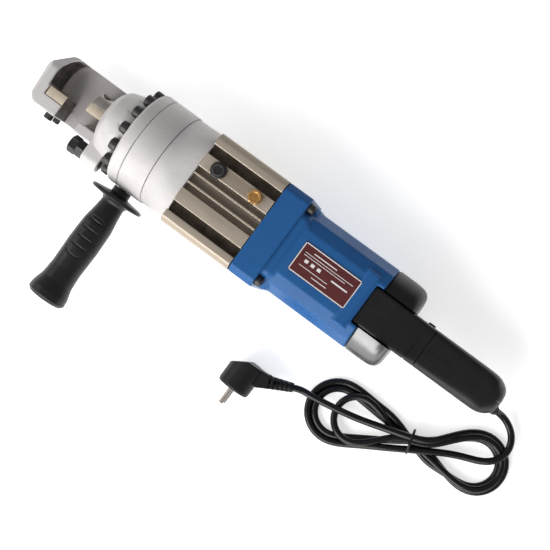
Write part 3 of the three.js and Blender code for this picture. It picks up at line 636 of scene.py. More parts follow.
def smooth_line(points, pieces):
    """A Catmull-Rom curve through the points, with so many samples between each two of them."""
    out = []
    for i in range(len(points) - 1):
        p1, p2 = Vector(points[i]), Vector(points[i + 1])
        p0 = Vector(points[i - 1]) if i else 2 * p1 - p2
        p3 = Vector(points[i + 2]) if i + 2 < len(points) else 2 * p2 - p1
        for k in range(pieces):
            t = k / pieces
            out.append(0.5 * (
                2 * p1 + (p2 - p0) * t + (2 * p0 - 5 * p1 + 4 * p2 - p3) * t * t
                + (3 * p1 - p0 - 3 * p2 + p3) * t ** 3
            ))
    return out + [Vector(points[-1])]


def relaxed(points, rounds):
    """Evens out kinks without moving the two ends."""
    for _ in range(rounds):
        inner = [(a + 2 * b + c) / 4 for a, b, c in zip(points, points[1:], points[2:])]
        points = [points[0], *inner, points[-1]]
    return points


def add_cord():
    line = relaxed(smooth_line(hank_route(), 3), 6)
    data = bpy.data.curves.new("mains_cord", "CURVE")
    data.dimensions = "3D"
    data.bevel_depth = CORD_R * MM
    data.bevel_resolution = 7
    data.use_fill_caps = True
    spline = data.splines.new("POLY")
    spline.points.add(len(line) - 1)
    for point, place_at in zip(spline.points, line):
        point.co = (*at(*place_at), 1)
    spline.use_smooth = True
    cord = bpy.data.objects.new("mains_cord", data)
    bpy.context.scene.collection.objects.link(cord)
    data.materials.append(FINISHES["cord_rubber"])
    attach(cord, "machine")
    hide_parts("cord_exit_run", "cord_hank", "cord_plug_run")
    return cord, sum((b - a).length for a, b in zip(line, line[1:])) * MM


def add_tie():
    """A thin moulded band round the bundle's waist."""
    axis = Vector((math.cos(LEFT_AXIS), math.sin(LEFT_AXIS), 0))
    side = Vector((-axis.y, axis.x, 0))
    outline = softened([
        (-13.5, FLOOR + 1.2), (13.5, FLOOR + 1.2), (12.5, -37.5), (3, -30.8), (-8, -31), (-13, -36),
    ], 5, steps=5)
    centre = Vector((*WAIST, 0))
    loop = [centre + side * a + Vector((0, 0, b)) for a, b in outline]
    half_wide, half_thick, sides = 1.3, 0.8, 8
    bm = bmesh.new()
    rings = []
    for i, point in enumerate(loop):
        ahead = (loop[(i + 1) % len(loop)] - loop[i - 1]).normalized()
        out_way = ahead.cross(axis)
        section = [(axis * half_wide * math.cos(a) + out_way * half_thick * math.sin(a)) for a in
                   (2 * math.pi * k / sides for k in range(sides))]
        rings.append([bm.verts.new(point + reach) for reach in section])
    for first, second in zip(rings, rings[1:] + rings[:1]):
        for i in range(sides):
            j = (i + 1) % sides
            bm.faces.new((first[i], first[j], second[j], second[i]))
    bmesh.ops.recalc_face_normals(bm, faces=bm.faces)
    return dressed(placed("cord_tie", bm), "machine", "rubber")


# ---------------------------------------------------------------- fasteners
def socket_head(axis, base, top, radius, hexagon, centre=(0, 0), depth=None, knurl=True):
    """A socket head cap screw's head: fluted side, chamfered rim and a hexagonal socket."""
    up = 1 if top > base else -1
    depth = depth or abs(top - base) * 0.6
    side = fluted(radius, 0.22, 36) if knurl else circle(radius)
    return spun([
        (base, 0), (base, radius - 0.3), (base + up * 0.3, side), (top - up * 1.1, side),
        (top - up * 0.45, radius - 0.35), (top, radius - 0.9),
        (top, hexagonal(hexagon + 1.0, hexagon * 0.62)), (top - up * 0.5, hexagonal(hexagon)),
        (top - up * depth, hexagonal(hexagon)), (top - up * (depth + 1), 0),
    ], axis, centre)


def hex_head(axis, base, top, flats, centre=(0, 0), turn=0.0, hole=0.0, steps=72):
    """A hexagon head or nut with its corners chamfered at both ends."""
    corner = flats / math.sqrt(3)
    up = 1 if top > base else -1
    rings = [
        (base, hexagonal(flats, flats * 0.5)), (base + up * 0.4, hexagonal(flats, corner * 0.965)),
        (base + up * 0.7, hexagonal(flats)), (top - up * 0.7, hexagonal(flats)),
        (top - up * 0.4, hexagonal(flats, corner * 0.965)), (top, hexagonal(flats, flats * 0.5)),
    ]
    if hole:
        inner = [(top, hole + 0.6), (top - up * 0.6, hole), (base + up * 0.6, hole), (base, hole + 0.6)]
        return spun(rings + inner, axis, centre, steps, turn, closed=True)
    dished = [(top, flats * 0.36), (top - up * 0.35, flats * 0.32), (top - up * 0.35, 0)]
    return spun([(base, 0), *rings, *dished], axis, centre, steps, turn)


def shank(tip, end, radius, chamfer, axis="x", centre=(0, 0), steps=24):
    rings = [(tip, 0), (tip, radius - chamfer), (tip + chamfer, radius), (end, radius), (end, 0)]
    return spun(rings, axis, centre, steps)


def thread(start, end, radius, pitch):
    """Ring profile of a threaded shank."""
    count = int(abs(end - start) / pitch)
    step = (end - start) / count
    rings = []
    for i in range(count):
        along = start + i * step
        rings += [(along, radius), (along + step * 0.5, radius - pitch * 0.55)]
    return rings + [(end, radius)]


# ---------------------------------------------------------------- cutting head
def bolt_places():
    for i in range(BOLT_COUNT):
        angle = 2 * math.pi * i / BOLT_COUNT
        yield BOLT_CIRCLE * math.sin(angle), BOLT_CIRCLE * math.cos(angle)


SCREW_HOLE = 3.4
CLAMP_Z = -8
# x, head radius, head top and name of each screw that clamps the fixed blade.
CLAMP_SCREWS = [
    (270.5, 5, 42.3, "fixed_blade_screw_front"), (260.8, 4, 40.8, "fixed_blade_screw_rear"),
]


BLADE_SCREW = (225, 4)                  # x, z of the moving blade's screw
RECESS_END, RECESS_LEAN = 283, 7


def head_jaw():
    """The C-shaped jaw: its outlines from the side, above and the front, pushed through each other."""
    side = softened([
        (166, SPINE_BOTTOM + 3), (286, SPINE_BOTTOM, 9), (NOSE_TIP, SPINE_BOTTOM + 8, 9),
        (NOSE_TIP, 16, 5), (291, NOSE_TOP, 4), (BLADE_FACE, NOSE_TOP, 0.6), (BLADE_FACE, THROAT_FLOOR, 4),
        (DOME_FRONT, THROAT_FLOOR, 0), (166, THROAT_FLOOR, 0),
    ], 3, steps=5)
    plan = softened([
        (166, NOSE_RIGHT, 0), (278.5, NOSE_RIGHT, 10), (NOSE_TIP, -8, 9), (292.6, 27, 7),
        (286, NOSE_LEFT, 7), (166, NOSE_LEFT, 0),
    ], 3, steps=5)
    front = softened([
        (-60, -60, 0), (60, -60, 0), (60, NOSE_TOP, 0), (*NOSE_RIDGE, 10),
        (-60, NOSE_TOP - (NOSE_RIDGE[0] + 60) * NOSE_SLOPE, 0),
    ], 3, steps=5)
    jaw = placed("cutter_head_casting", pushed(side, "y", THROUGH))
    combined(jaw, pushed(plan, "z", THROUGH), "INTERSECT")
    return combined(jaw, pushed(front, "x", (150, 310)), "INTERSECT")


def head_casting():
    dome = turned([
        (HEAD_BACK, 0, 0), (HEAD_BACK, BODY, 0.8), (HEAD_FLANGE, BODY, 4.5), (HEAD_FLANGE, 39.8, 1.2),
        (190, 39.6, 12), (207, 34.5, 9), (DOME_FRONT, 27, 2), (DOME_FRONT, 0, 0),
    ], 1, 6, steps=144)
    cheek = block((200, 235), (23.6, NOSE_LEFT), (-24, 8))
    boss = rod(191, 212, 11, centre=STOPPER)
    web = block((191, 212), (24, 46), (-11, 11))
    made = head_jaw()
    for part in (dome, cheek, boss, web):
        combined(made, part, "UNION")
    recess = softened([
        (BLADE_FACE - 2, NOSE_RIGHT - 6, 0), (262, NOSE_RIGHT - 6, 0), (265, -31, 3), (273.4, -28, 6),
        (279.5, -21.5, 6), (282.5, -13, 6), (RECESS_END, -4, 6), (282, SHEAR_PLANE + 0.3, 0.4),
        (279.6, SHEAR_PLANE + 0.3, 0.4), (279.6, 20.9, 0.4), (BLADE_FACE - 2, 20.9, 0),
    ], 1, steps=5)
    lean = RECESS_LEAN / (RECESS_END - BLADE_FACE)
    recess = lofted([
        [(x - lean * max(0, x - BLADE_FACE) * (y < SHEAR_PLANE), y, THROAT_FLOOR + 0.4) for x, y in recess],
        [(x, y, NOSE_TOP + 6) for x, y in recess],
    ])
    pockets = []
    for y, z in bolt_places():
        by_stopper = y > 30 and abs(z) < 25
        pockets.append(rod(HEAD_FLANGE, 190.5 if by_stopper else 204, 7.7, centre=(y, z), steps=40))
    screws = [rod(20, NOSE_LEFT + 1, SCREW_HOLE, "y", (x, CLAMP_Z), 32) for x, *_ in CLAMP_SCREWS]
    bore = spun([
        (HEAD_BACK - 1, 0), (HEAD_BACK - 1, SPRING_BORE), (172, SPRING_BORE), (172, ROD_BORE),
        (DOME_FRONT + 1, ROD_BORE), (DOME_FRONT + 1, 0),
    ], steps=96)
    stopper_hole = rod(188, 213, 6.2, centre=STOPPER, steps=40)
    carved(made, recess, *pockets, *screws, bore, stopper_hole)
    cast_soft(made, 0.85, 5)
    return dressed(made, "machine", "silver_paint", "cutter_head", sharp=80)


def head_details():
    heads = [socket_head("x", HEAD_FLANGE + 0.1, 184.3, 6.5, 7, c) for c in bolt_places()]
    shanks = [shank(106, HEAD_FLANGE + 1, 4, 0.5, centre=c) for c in bolt_places()]
    dressed(placed("head_bolt_set", together(*heads, *shanks)), "machine", "black_steel", "head_bolts")
    for x, radius, top, name in CLAMP_SCREWS:
        screw = together(
            socket_head("y", NOSE_LEFT + 0.1, top, radius, radius * 1.05, (x, CLAMP_Z)),
            shank(15, NOSE_LEFT + 1, 3, 0.4, "y", (x, CLAMP_Z)),
        )
        piece(name, screw, "black_steel")
    bolt = together(
        hex_head("x", 221.6, 231, 17.5, STOPPER, steps=96),
        spun([(189, 0), (189, 4.6), *thread(190, 222, 5.8, 1.75), (222, 0)], centre=STOPPER, steps=48),
    )
    piece("stopper_bolt", bolt, "black_steel", "stopper_body", sharp=18)
    nut = hex_head("x", 212.3, 221.3, 18, STOPPER, math.pi / 6, hole=6.1, steps=96)
    piece("stopper_nut", nut, "black_steel", sharp=18)


def blades():
    section = softened([
        (BLADE_FACE, SHEAR_PLANE + 0.3), (278, SHEAR_PLANE + 0.3), (278, 20.6), (BLADE_FACE, 20.6),
    ], 0.3, steps=2)
    made = placed("fixed_blade_detail", pushed(section, "z", (-16.5, 21.4)))
    carved(made, *[rod(14, 22, SCREW_HOLE, "y", (x, CLAMP_Z), 32) for x, *_ in CLAMP_SCREWS])
    bevelled(made, 0.35, 2)
    dressed(made, "machine", "blade_steel", "fixed_blade")
    made = placed("moving_blade_detail", block((214.4, 234.5), (0.3, SHEAR_PLANE), (-15.5, 15.5)))
    carved(made, rod(-1, 8, SCREW_HOLE, "y", BLADE_SCREW, 32))
    bevelled(made, 0.35, 2)
    dressed(made, "piston_body", "blade_steel", "moving_blade")
    head, body = socket_head("y", -9.3, -14, 5, 5.2, BLADE_SCREW), rod(-10, 7.5, 3, "y", BLADE_SCREW, 24)
    piece("moving_blade_screw", together(head, body), "black_steel", "piston_body")


def piston():
    body = turned([
        (112, 0, 0), (112, 29.6), (116, 29.6), (116, 26.5), (120, 26.5), (120, 29.6), (124, 29.6),
        (124, PISTON_ROD, 1.5), (233, PISTON_ROD, 1), (233, 0, 0),
    ], 0.5, 3, steps=96)
    made = placed("piston_detail", body)
    carved(made, block((214, 234), (0, 17), (-17, 17)), rod(-17, -9, 6.5, "y", BLADE_SCREW, 48))
    carved(made, rod(-10, 1, SCREW_HOLE, "y", BLADE_SCREW, 32))
    bevelled(made, 0.4, 2, 40)
    return dressed(made, "piston_body", "steel", "piston")


def return_spring():
    """The coil that pushes the piston back; on the tool it is squeezed against the head as the piston goes
    out, while here it is one fixed coil.
    """
    start, end, radius, wire, turns = 126.5, 169.4, 22.5, 2, 5
    steps = turns * 40
    rings = []
    for i in range(steps + 1):
        angle = 2 * math.pi * turns * i / steps
        along = start + (end - start) * i / steps
        ring = []
        for k in range(16):
            around = 2 * math.pi * k / 16
            reach = radius + wire * math.cos(around)
            ring.append((along + wire * math.sin(around), reach * math.cos(angle), reach * math.sin(angle)))
        rings.append(ring)
    made = dressed(placed("return_spring_coil", lofted(rings)), "machine", "steel", "return_spring")
    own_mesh(made)


# ---------------------------------------------------------------- cylinder and pump case
def superellipse(x, wide, high, power, steps):
    points = []
    for i in range(steps):
        angle = 2 * math.pi * i / steps
        c, s = math.cos(angle), math.sin(angle)
        points.append((
            x, math.copysign(abs(c) ** (2 / power), c) * wide,
            math.copysign(abs(s) ** (2 / power), s) * high,
        ))
    return points


def cylinder():
    body = turned([
        (CYLINDER_BACK, 0, 0), (CYLINDER_BACK, 36), (RING_BACK + 0.3, 36), (RING_BACK + 0.3, BODY, 1.1),
        (HEAD_BACK - 0.4, BODY, 0.9), (HEAD_BACK - 0.4, 30), (106, 30), (106, 0, 0),
    ], 0.6, 4, steps=144)
    made = placed("cylinder_ring", body)
    carved(made, rod(39, 60, 4.2, "y", (SIDE_HANDLE_X, 0), 40),
           *[rod(125, 170, 4.9, centre=c, steps=24) for c in bolt_places()])
    return dressed(made, "machine", "silver_paint", "cylinder")


# The return valve stands halfway between two of the head's bolts.
VALVE_TURN = Matrix.Translation((VALVE_X, 0, 0)) @ Matrix.Rotation(-8.5 * 2 * math.pi / BOLT_COUNT, 4, "X")


def pump_case():
    """Square with round corners at the gear case, turning round at the cylinder."""
    start, rows, steps = PUMP_BACK + 0.3, [], 12
    for k in range(steps + 1):
        t = k / steps
        ease = t * t * (3 - 2 * t)
        rows.append((start + t * (RING_BACK - start), 53.6 - 0.6 * ease, 3.2 - 1.2 * ease))
    first, last = rows[0], rows[-1]
    rows = [(first[0], first[1] - 0.8, first[2]), (first[0] + 0.25, first[1] - 0.25, first[2]), *rows[1:-1],
            (last[0] - 0.3, last[1] - 0.2, last[2]), (last[0], last[1] - 0.8, last[2])]
    rings = [superellipse(x, half, half, power, 144) for x, half, power in rows]
    made = placed("pump_case_shell", lofted(rings))
    hole = rod(40, 70, 4.4, "z", steps=40)
    hole.transform(VALVE_TURN)
    carved(made, rod(97.6, 132, 36.5, steps=96), rod(93, 99, 33, steps=96), hole)
    return dressed(made, "machine", "silver_paint", "pump_case")


def release_knob():
    rings = [
        (55.6, 0), (55.6, 6.2), (56.2, fluted(7, 0.7, 10)), (60.2, fluted(7, 0.7, 10)), (61.2, 5.9),
        (61.2, 2.4), (60.4, 2.2), (60.4, 0),
    ]
    knob = together(spun(rings, "z"), rod(42, 56, 4, "z", steps=32))
    knob.transform(VALVE_TURN)
    return piece("release_knob", knob, "black_steel", "release_body")


# ---------------------------------------------------------------- gear case
def gear_case():
    """Finned extrusion: one quarter's fins, turned to the four sides."""
    half = [
        (48, BODY, 1.4), (40.3, BODY, 1.0), (40.3, 44, 1.2), (29, 44, 1.2), (29, BODY, 0.8),
        (13.4, BODY, 0.8), (13.4, 45, 0.8), (6.7, 45, 0.6), (6.7, 53, 0.5), (4.5, 53, 0.5), (4.5, 45, 0.6),
    ]
    side = [*half, *[(-a, b, r) for a, b, r in reversed(half)]]
    points = []
    for quarter in range(4):
        angle = quarter * math.pi / 2
        c, s = math.cos(angle), math.sin(angle)
        points += [(a * c - b * s, a * s + b * c, r) for a, b, r in side]
    section = softened(points, 0.6, steps=4)
    made = placed("gear_case_extrusion", pushed(section, "x", (GEAR_BACK + 0.3, PUMP_BACK)))
    carved(
        made,
        rod(0, 100, 38.5, steps=96),
        rod(20, 60, 6.3, "z", FILL_PLUG, 32),
        rod(20, 60, 4.4, "z", BLEED_SCREW, 32),
    )
    dressed(made, "machine", "anodised", "gear_case", sharp=30)
    rim = [(BODY, 0, 0), (BODY, 8.7), (56.6, 8.7, 1), (57.2, 7.2, 0.3), (57.2, 0, 0)]
    plug = together(
        turned(rim, 0.3, 3, "z", FILL_PLUG),
        socket_head("z", BODY + 1, 58, 6.6, 8, FILL_PLUG, 3, knurl=False),
        shank(38, 55, 6, 0.6, "z", FILL_PLUG, 40),
    )
    piece("fill_plug", plug, "black_steel")
    washer = [(BODY, 0, 0), (BODY, 7.6), (55.4, 7.6), (55.4, 0, 0)]
    bleed = together(
        turned(washer, 0.4, 3, "z", BLEED_SCREW),
        hex_head("z", 55.2, 61, 13, BLEED_SCREW, math.radians(14)),
        rod(38, 56, 4, "z", BLEED_SCREW, 32),
    )
    piece("bleed_screw", bleed, "brass", sharp=18)


# ---------------------------------------------------------------- motor housing
def mirrored(points):
    """A top outline, given for its right half, completed to the left and below."""
    upper = points + [(-p[0], *p[1:]) for p in reversed(points)]
    return upper + [(-p[0], -p[1], *p[2:]) for p in upper]


def rounded_square(half, corner):
    inner = half - corner
    points = []
    for a, b in ((1, 1), (-1, 1), (-1, -1), (1, -1)):
        first, second = (a * half, b * inner, corner * 0.5), (a * inner, b * half, corner * 0.5)
        points += [first, second] if a * b > 0 else [second, first]
    return softened(points, 2, steps=4)


def motor_housing():
    barrel = softened(mirrored([(48, 24, 14), (38.5, 43, 5), (26, 49, 3)]), 3, steps=5)
    made = placed("motor_housing_casting", pushed(barrel, "x", (BARREL_BACK, 0)))
    flange = pushed(rounded_square(BODY, 7), "x", (FLANGE_BACK, GEAR_BACK - 0.3))
    step = lofted([
        [(x, a, b) for a, b in rounded_square(half, corner)]
        for x, half, corner in ((FLANGE_BACK + 2, 50.8, 17), (-27, 50.6, 17.5), (-33, 48.4, 18))
    ])
    collars = [pushed(softened([(x, sign * z, r) for x, z, r in (
        (-122, 44, 1), (-119.5, 50.3, 3), (-107.5, 50.3, 4), (-102, 44, 1),
    )], 1), "y", (-31, 32)) for sign in (1, -1)]
    for part in (flange, step, *collars):
        combined(made, part, "UNION")
    corners = [(a * CORNER, b * CORNER) for a in (-1, 1) for b in (-1, 1)]
    carved(
        made,
        rod(BARREL_BACK - 2, -1, 43.5, steps=96),
        rod(-2, 5.2, 11.4),
        *[rod(-36, FLANGE_BACK, 6.4, centre=c, steps=32) for c in corners],
    )
    slot = HANDLE_HALF + 0.4
    carved(made, block((BARREL_BACK - 2, ROOT_FRONT + 0.3), (-slot, slot), THROUGH))
    cast_soft(made, 0.9, 8)
    dressed(made, "machine", "blue_paint", "motor_housing", sharp=80)
    for name, (a, b) in zip(("left_top", "right_top", "right_bottom", "left_bottom"),
                            ((1, 1), (-1, 1), (-1, -1), (1, -1))):
        corner = (a * CORNER, b * CORNER)
        bolt = together(
            socket_head("x", FLANGE_BACK - 0.1, -27.5, 5.2, 5, corner),
            rod(FLANGE_BACK - 1, 28, 3, centre=corner, steps=24),
        )
        piece("motor_bolt_" + name, bolt, "black_steel")


# Plain ruled lines on the plate: level across it, start and end as shares of its length, thickness.
PLATE_RULES = [
    (-10.4, 0.20, 0.60, 1.0), (-7.0, 0.08, 0.92, 0.6), (-4.4, 0.08, 0.80, 0.6), (0.4, 0.14, 0.20, 3.4),
    (0.4, 0.25, 0.31, 3.4), (0.4, 0.36, 0.42, 3.4), (1.4, 0.62, 0.90, 1.6), (6.6, 0.10, 0.60, 0.6),
    (10.6, 0.36, 0.62, 0.8),
]


def nameplate():
    """A maroon rating plate with a pale border and plain ruled lines where its text would be."""
    x, y, top = (-109, -39.5), (-16.5, 17), 50
    plate = pushed(softened([(x[0], y[0]), (x[1], y[0]), (x[1], y[1]), (x[0], y[1])], 0.8), "z", (49.1, top))
    made = bevelled(placed("nameplate_detail", plate), 0.15, 2)
    dressed(made, "machine", "nameplate", "nameplate", sharp=15)
    margin, border = 0.4, 1.0
    long, wide = (x[0] + margin, x[1] - margin), (y[0] + margin, y[1] - margin)
    strips = [
        (long, (wide[0], wide[0] + border)), (long, (wide[1] - border, wide[1])),
        ((long[0], long[0] + border), wide), ((long[1] - border, long[1]), wide),
    ]
    for level, start, end, tall in PLATE_RULES:
        front = x[1] - start * (x[1] - x[0])
        back = x[1] - end * (x[1] - x[0])
        strips.append(((back, front), (level - tall / 2, level + tall / 2)))
    raised = together(*[block(a, b, (top - 0.1, top + 0.08)) for a, b in strips])
    dressed(placed("nameplate_rules", raised), "machine", "nameplate", material=PRINT_WHITE)


# ---------------------------------------------------------------- rear covers and handle
def eased(stations, step):
    """Stations filled in with a smooth curve, about one every step millimetres."""
    out = []
    for i in range(len(stations) - 1):
        count = max(1, round(abs(stations[i + 1][0] - stations[i][0]) / step))
        rows = [stations[max(0, min(i + k, len(stations) - 1))] for k in (-1, 0, 1, 2)]
        for k in range(count):
            t = k / count
            x = rows[1][0] + (rows[2][0] - rows[1][0]) * t
            values = [x]
            for column in range(1, len(rows[0])):
                a, b, c, d = (row[column] for row in rows)
                m0 = (c - a) / (rows[2][0] - rows[0][0]) * (rows[2][0] - rows[1][0])
                m1 = (d - b) / (rows[3][0] - rows[1][0]) * (rows[2][0] - rows[1][0])
                values.append((2 * t ** 3 - 3 * t * t + 1) * b + (t ** 3 - 2 * t * t + t) * m0
                              + (3 * t * t - 2 * t ** 3) * c + (t ** 3 - t * t) * m1)
            out.append(tuple(values))
    return out + [tuple(stations[-1])]


COVER_STATIONS = [
    (COVER_BACK, 36.5, 33.5, 2.6), (-168.5, 40, 37.5, 2.6), (-166.6, 43.8, 41.6, 2.6), (-163, 46.6, 45, 2.6),
    (-158, 48, 47, 2.6), (-150, 48.5, 47.8, 2.5), (BARREL_BACK - 1.1, 48.6, 48, 2.4),
    (BARREL_BACK - 0.5, 48.3, 47.7, 2.4), (BARREL_BACK - 0.3, 47.8, 47.2, 2.4),
]


def rear_cover(sign, finish):
    """One lobe beside the handle: the outer curve, closed by a flat inner wall."""
    inner, arc, wall = HANDLE_HALF + 0.4, 96, 12
    rings = []
    for x, wide, tall, power in eased(COVER_STATIONS, 1.2):
        edge = tall * (1 - (inner / wide) ** power) ** (1 / power)
        start = math.atan2((edge / tall) ** (power / 2), (inner / wide) ** (power / 2))
        ring = []
        for k in range(arc + 1):
            angle = start - 2 * start * k / arc
            c, s = math.cos(angle), math.sin(angle)
            y, z = wide * abs(c) ** (2 / power), tall * abs(s) ** (2 / power)
            ring.append((x, sign * y, math.copysign(z, s)))
        ring += [(x, sign * inner, edge * (1 - 2 * k / wall)) for k in range(wall - 1, 0, -1)]
        rings.append(ring)
    name = "left" if sign > 0 else "right"
    made = placed("rear_cover_" + name + "_shell", lofted(rings))
    return dressed(made, "machine", finish, "rear_cover_" + name, sharp=40)


HANDLE_STATIONS = [
    (ROOT_FRONT, 45, 22.2, 18), (-150, 44, 22.2, 17), (-166, 38, 22.2, 14), (-182, 32, 22.2, 10),
    (GRIP_FRONT, 29, 22.2, 8), (-240, 26, 22.2, 5.5), (-266, 25, 22, 4.5), (-274, 23.9, 21.2, 3.8),
    (-280, 21.6, 19, 2.65), (-285, 17.9, 15.4, 2.45), (-288.4, 12.2, 10, 2.25), (HANDLE_END, 4.4, 3.6, 2),
]


def handle_rings(x_from, x_to, trim):
    """Full sections between two stations, drawn in a little at both ends to leave a fine seam."""
    stations = eased(HANDLE_STATIONS, 2)
    rows = [row for row in stations if x_to < row[0] < x_from]

    def row_at(x):
        ahead = [row for row in stations if row[0] >= x][-1]
        behind = [row for row in stations if row[0] <= x][0]
        t = 0 if ahead[0] == behind[0] else (ahead[0] - x) / (ahead[0] - behind[0])
        return tuple(a + (b - a) * t for a, b in zip(ahead, behind))

    ends = []
    for x, inward in ((x_from, -1), (x_to, 1)):
        if x <= HANDLE_END:
            ends.append([row_at(HANDLE_END)])
            continue
        row, behind = row_at(x), row_at(x + inward * trim)
        ends.append([(x, row[1] - trim, row[2] - trim, row[3]), behind])
    return [*ends[0], *rows, *reversed(ends[1])]


def handle_shape(x_from, x_to, inset=0.0, trim=0.45):
    return lofted([superellipse(x, wide - inset, high - inset, power, 112)
                   for x, high, wide, power in handle_rings(x_from, x_to, trim)])


TRIGGER = (-252, -206)
LOCK_AT = (-188, 0)                     # x, z of the lock button, on the handle's right side
SEAM = 0.12                             # half the gap between the grip's two halves
GRIP_SPAN = (-300, -190)                # reaches past both ends of the grip


def handle():
    root = placed("handle_root_shell", handle_shape(ROOT_FRONT, GRIP_FRONT + 0.15))
    carved(root, rod(-30, -12, 4.7, "y", LOCK_AT, 48))
    # A slanted strip, hollowed by a slightly smaller handle, leaves a shallow line round the root.
    strip = placed("strip", pushed([(-182.8, 24), (-184, 24), (-186.2, 4), (-185, 4)], "z", THROUGH))
    core = placed("core", handle_shape(-170, GRIP_FRONT - 3, 1.1, 0.2))
    joined(strip, core, "DIFFERENCE")
    joined(root, strip, "DIFFERENCE")
    dressed(root, "machine", "black_plastic", "handle_root", sharp=40)
    for name, sign in (("left", 1), ("right", -1)):
        half = placed("grip_" + name + "_shell", handle_shape(GRIP_FRONT - 0.15, HANDLE_END))
        combined(half, block(GRIP_SPAN, sorted((SEAM * sign, 60 * sign)), (-80, 80)), "INTERSECT")
        guard_hole = guard_shape([(-6, 7.5), (60, 7.5)])
        carved(half, block((TRIGGER[0] - 1, TRIGGER[1] + 1), (-9.5, 9.5), (-60, -12)), guard_hole)
        dressed(half, "machine", "black_plastic", "grip_" + name, sharp=40)
    lip = placed("grip_seam_lip", handle_shape(GRIP_FRONT - 1, -284, 0.7))
    combined(lip, block(GRIP_SPAN, (-0.6, 0.6), (-12, 60)), "INTERSECT")
    dressed(lip, "machine", "black_plastic", sharp=40)


GUARD_START, GUARD_END = Vector((-274, 9, -8)), Vector((-291, 9, -31))


def guard_shape(rings, steps=40):
    """A body turned on the cord guard's axis: rings of (distance from its start, radius)."""
    shape = spun([(rings[0][0], 0), *rings, (rings[-1][0], 0)], "z", steps=steps)
    return aimed(shape, GUARD_START, GUARD_END)


def cord_guard():
    length = (GUARD_END - GUARD_START).length
    rings = [(0, 7)]
    ribs = 6
    for i in range(ribs):
        start = 5 + i * (length - 6) / ribs
        radius = 7 - 1.6 * (start / length)
        waist = radius - 0.9
        rings += [(start, radius), (start + 0.5, waist), (start + 1.5, waist), (start + 2.0, radius)]
    rings += [(length - 0.8, 5.2), (length, 4.5)]
    return dressed(placed("cord_guard_sleeve", guard_shape(rings)), "machine", "rubber", "cord_guard")


def trigger_and_lock():
    back, front = TRIGGER
    outline = softened([
        (back, -19, 0.5), (back, -30, 2), (back + 6, -36.4, 5), (-236, -36.2, 8), (-226, -34.2, 8),
        (front - 6, -37.2, 5), (front, -31, 3), (front, -19, 0.5),
    ], 2, steps=5)
    made = bevelled(placed("trigger_detail", pushed(outline, "y", (-9, 9))), 1.6, 4, 50)
    dressed(made, "trigger_body", "black_plastic", "trigger")
    button = turned([
        (-24.4, 0, 0), (-24.2, 2.2, 1), (-24.2, 4.2, 0.8), (-18.6, 4.2, 0.2), (-18.6, 5.6, 0.3),
        (-13, 5.6, 0.3), (-13, 0, 0),
    ], 0.4, 3, "y", LOCK_AT, 48)
    piece("lock_button", button, "black_plastic", "lock_body")


# ---------------------------------------------------------------- side handle
GRIP_PROFILE = [
    (54.4, 0, 0), (54.4, 10.4, 0.8), (61, 10.4, 2), (63.4, 28, 6), (64.4, 30.5, 1.2), (67.4, 30.5, 1.6),
    (69.4, 15, 5), (73, 13.2, 3), (84, 14.4, 8), (100, 16.8, 12), (125, 17.6, 20), (155, 16.8, 20),
    (172, 18, 10), (184, 21.4, 6), (191.4, 22, 2), (SIDE_GRIP_END, 19, 2), (SIDE_GRIP_END, 0, 0),
]
PAD = {"middle": 116, "half_long": 23.5, "half_wide": 11.2, "corner": 7}
PAD_GROOVES = [96.5 + 10.6 * i for i in range(5)]
PAD_REACH = (88, 145)                   # y between which the grip's surface may be let in


def pad_depth(across, along):
    """How far the grip's surface is let in at a point of the finger pad's outline or cross grooves."""
    dx = abs(across) - (PAD["half_wide"] - PAD["corner"])
    dy = abs(along - PAD["middle"]) - (PAD["half_long"] - PAD["corner"])
    inside = math.hypot(max(dx, 0), max(dy, 0)) + min(max(dx, dy), 0) - PAD["corner"]
    depth = 0.55 * math.exp(-(inside / 0.55) ** 2)
    if inside < -0.9:
        depth = max(depth, *[0.8 * math.exp(-((along - groove) / 0.6) ** 2) for groove in PAD_GROOVES])
    return depth


def side_handle():
    rows = softened(GRIP_PROFILE, 1, steps=6, closed=False)
    fine = []
    for first, second in zip(rows, rows[1:]):
        count = max(1, round(abs(second[0] - first[0]) / 0.55)) if first[0] > 84 else 1
        fine += [tuple(a + (b - a) * k / count for a, b in zip(first, second)) for k in range(count)]
    bm = spun([*fine, rows[-1]], "y", (SIDE_HANDLE_X, 0), 160)
    for vertex in bm.verts:
        out_way = Vector((vertex.co.x - SIDE_HANDLE_X, 0, vertex.co.z))
        radius = out_way.length
        if not PAD_REACH[0] < vertex.co.y < PAD_REACH[1] or radius < 5:
            continue
        across = radius * math.asin(max(-1, min(1, out_way.x / radius)))
        if abs(across) < 15:
            vertex.co -= out_way / radius * pad_depth(across, vertex.co.y)
    return piece("side_handle_grip", bm, "black_plastic", sharp=60)


# ---------------------------------------------------------------- plug
PLUG_X, PLUG_Z, PLUG_FACE = -57.5, FLOOR + 18.5, 155
RELIEF_START, RELIEF_END = Vector((-76, 131, PLUG_Z)), Vector((-109.2, 116.4, CROSSING + 1.6))


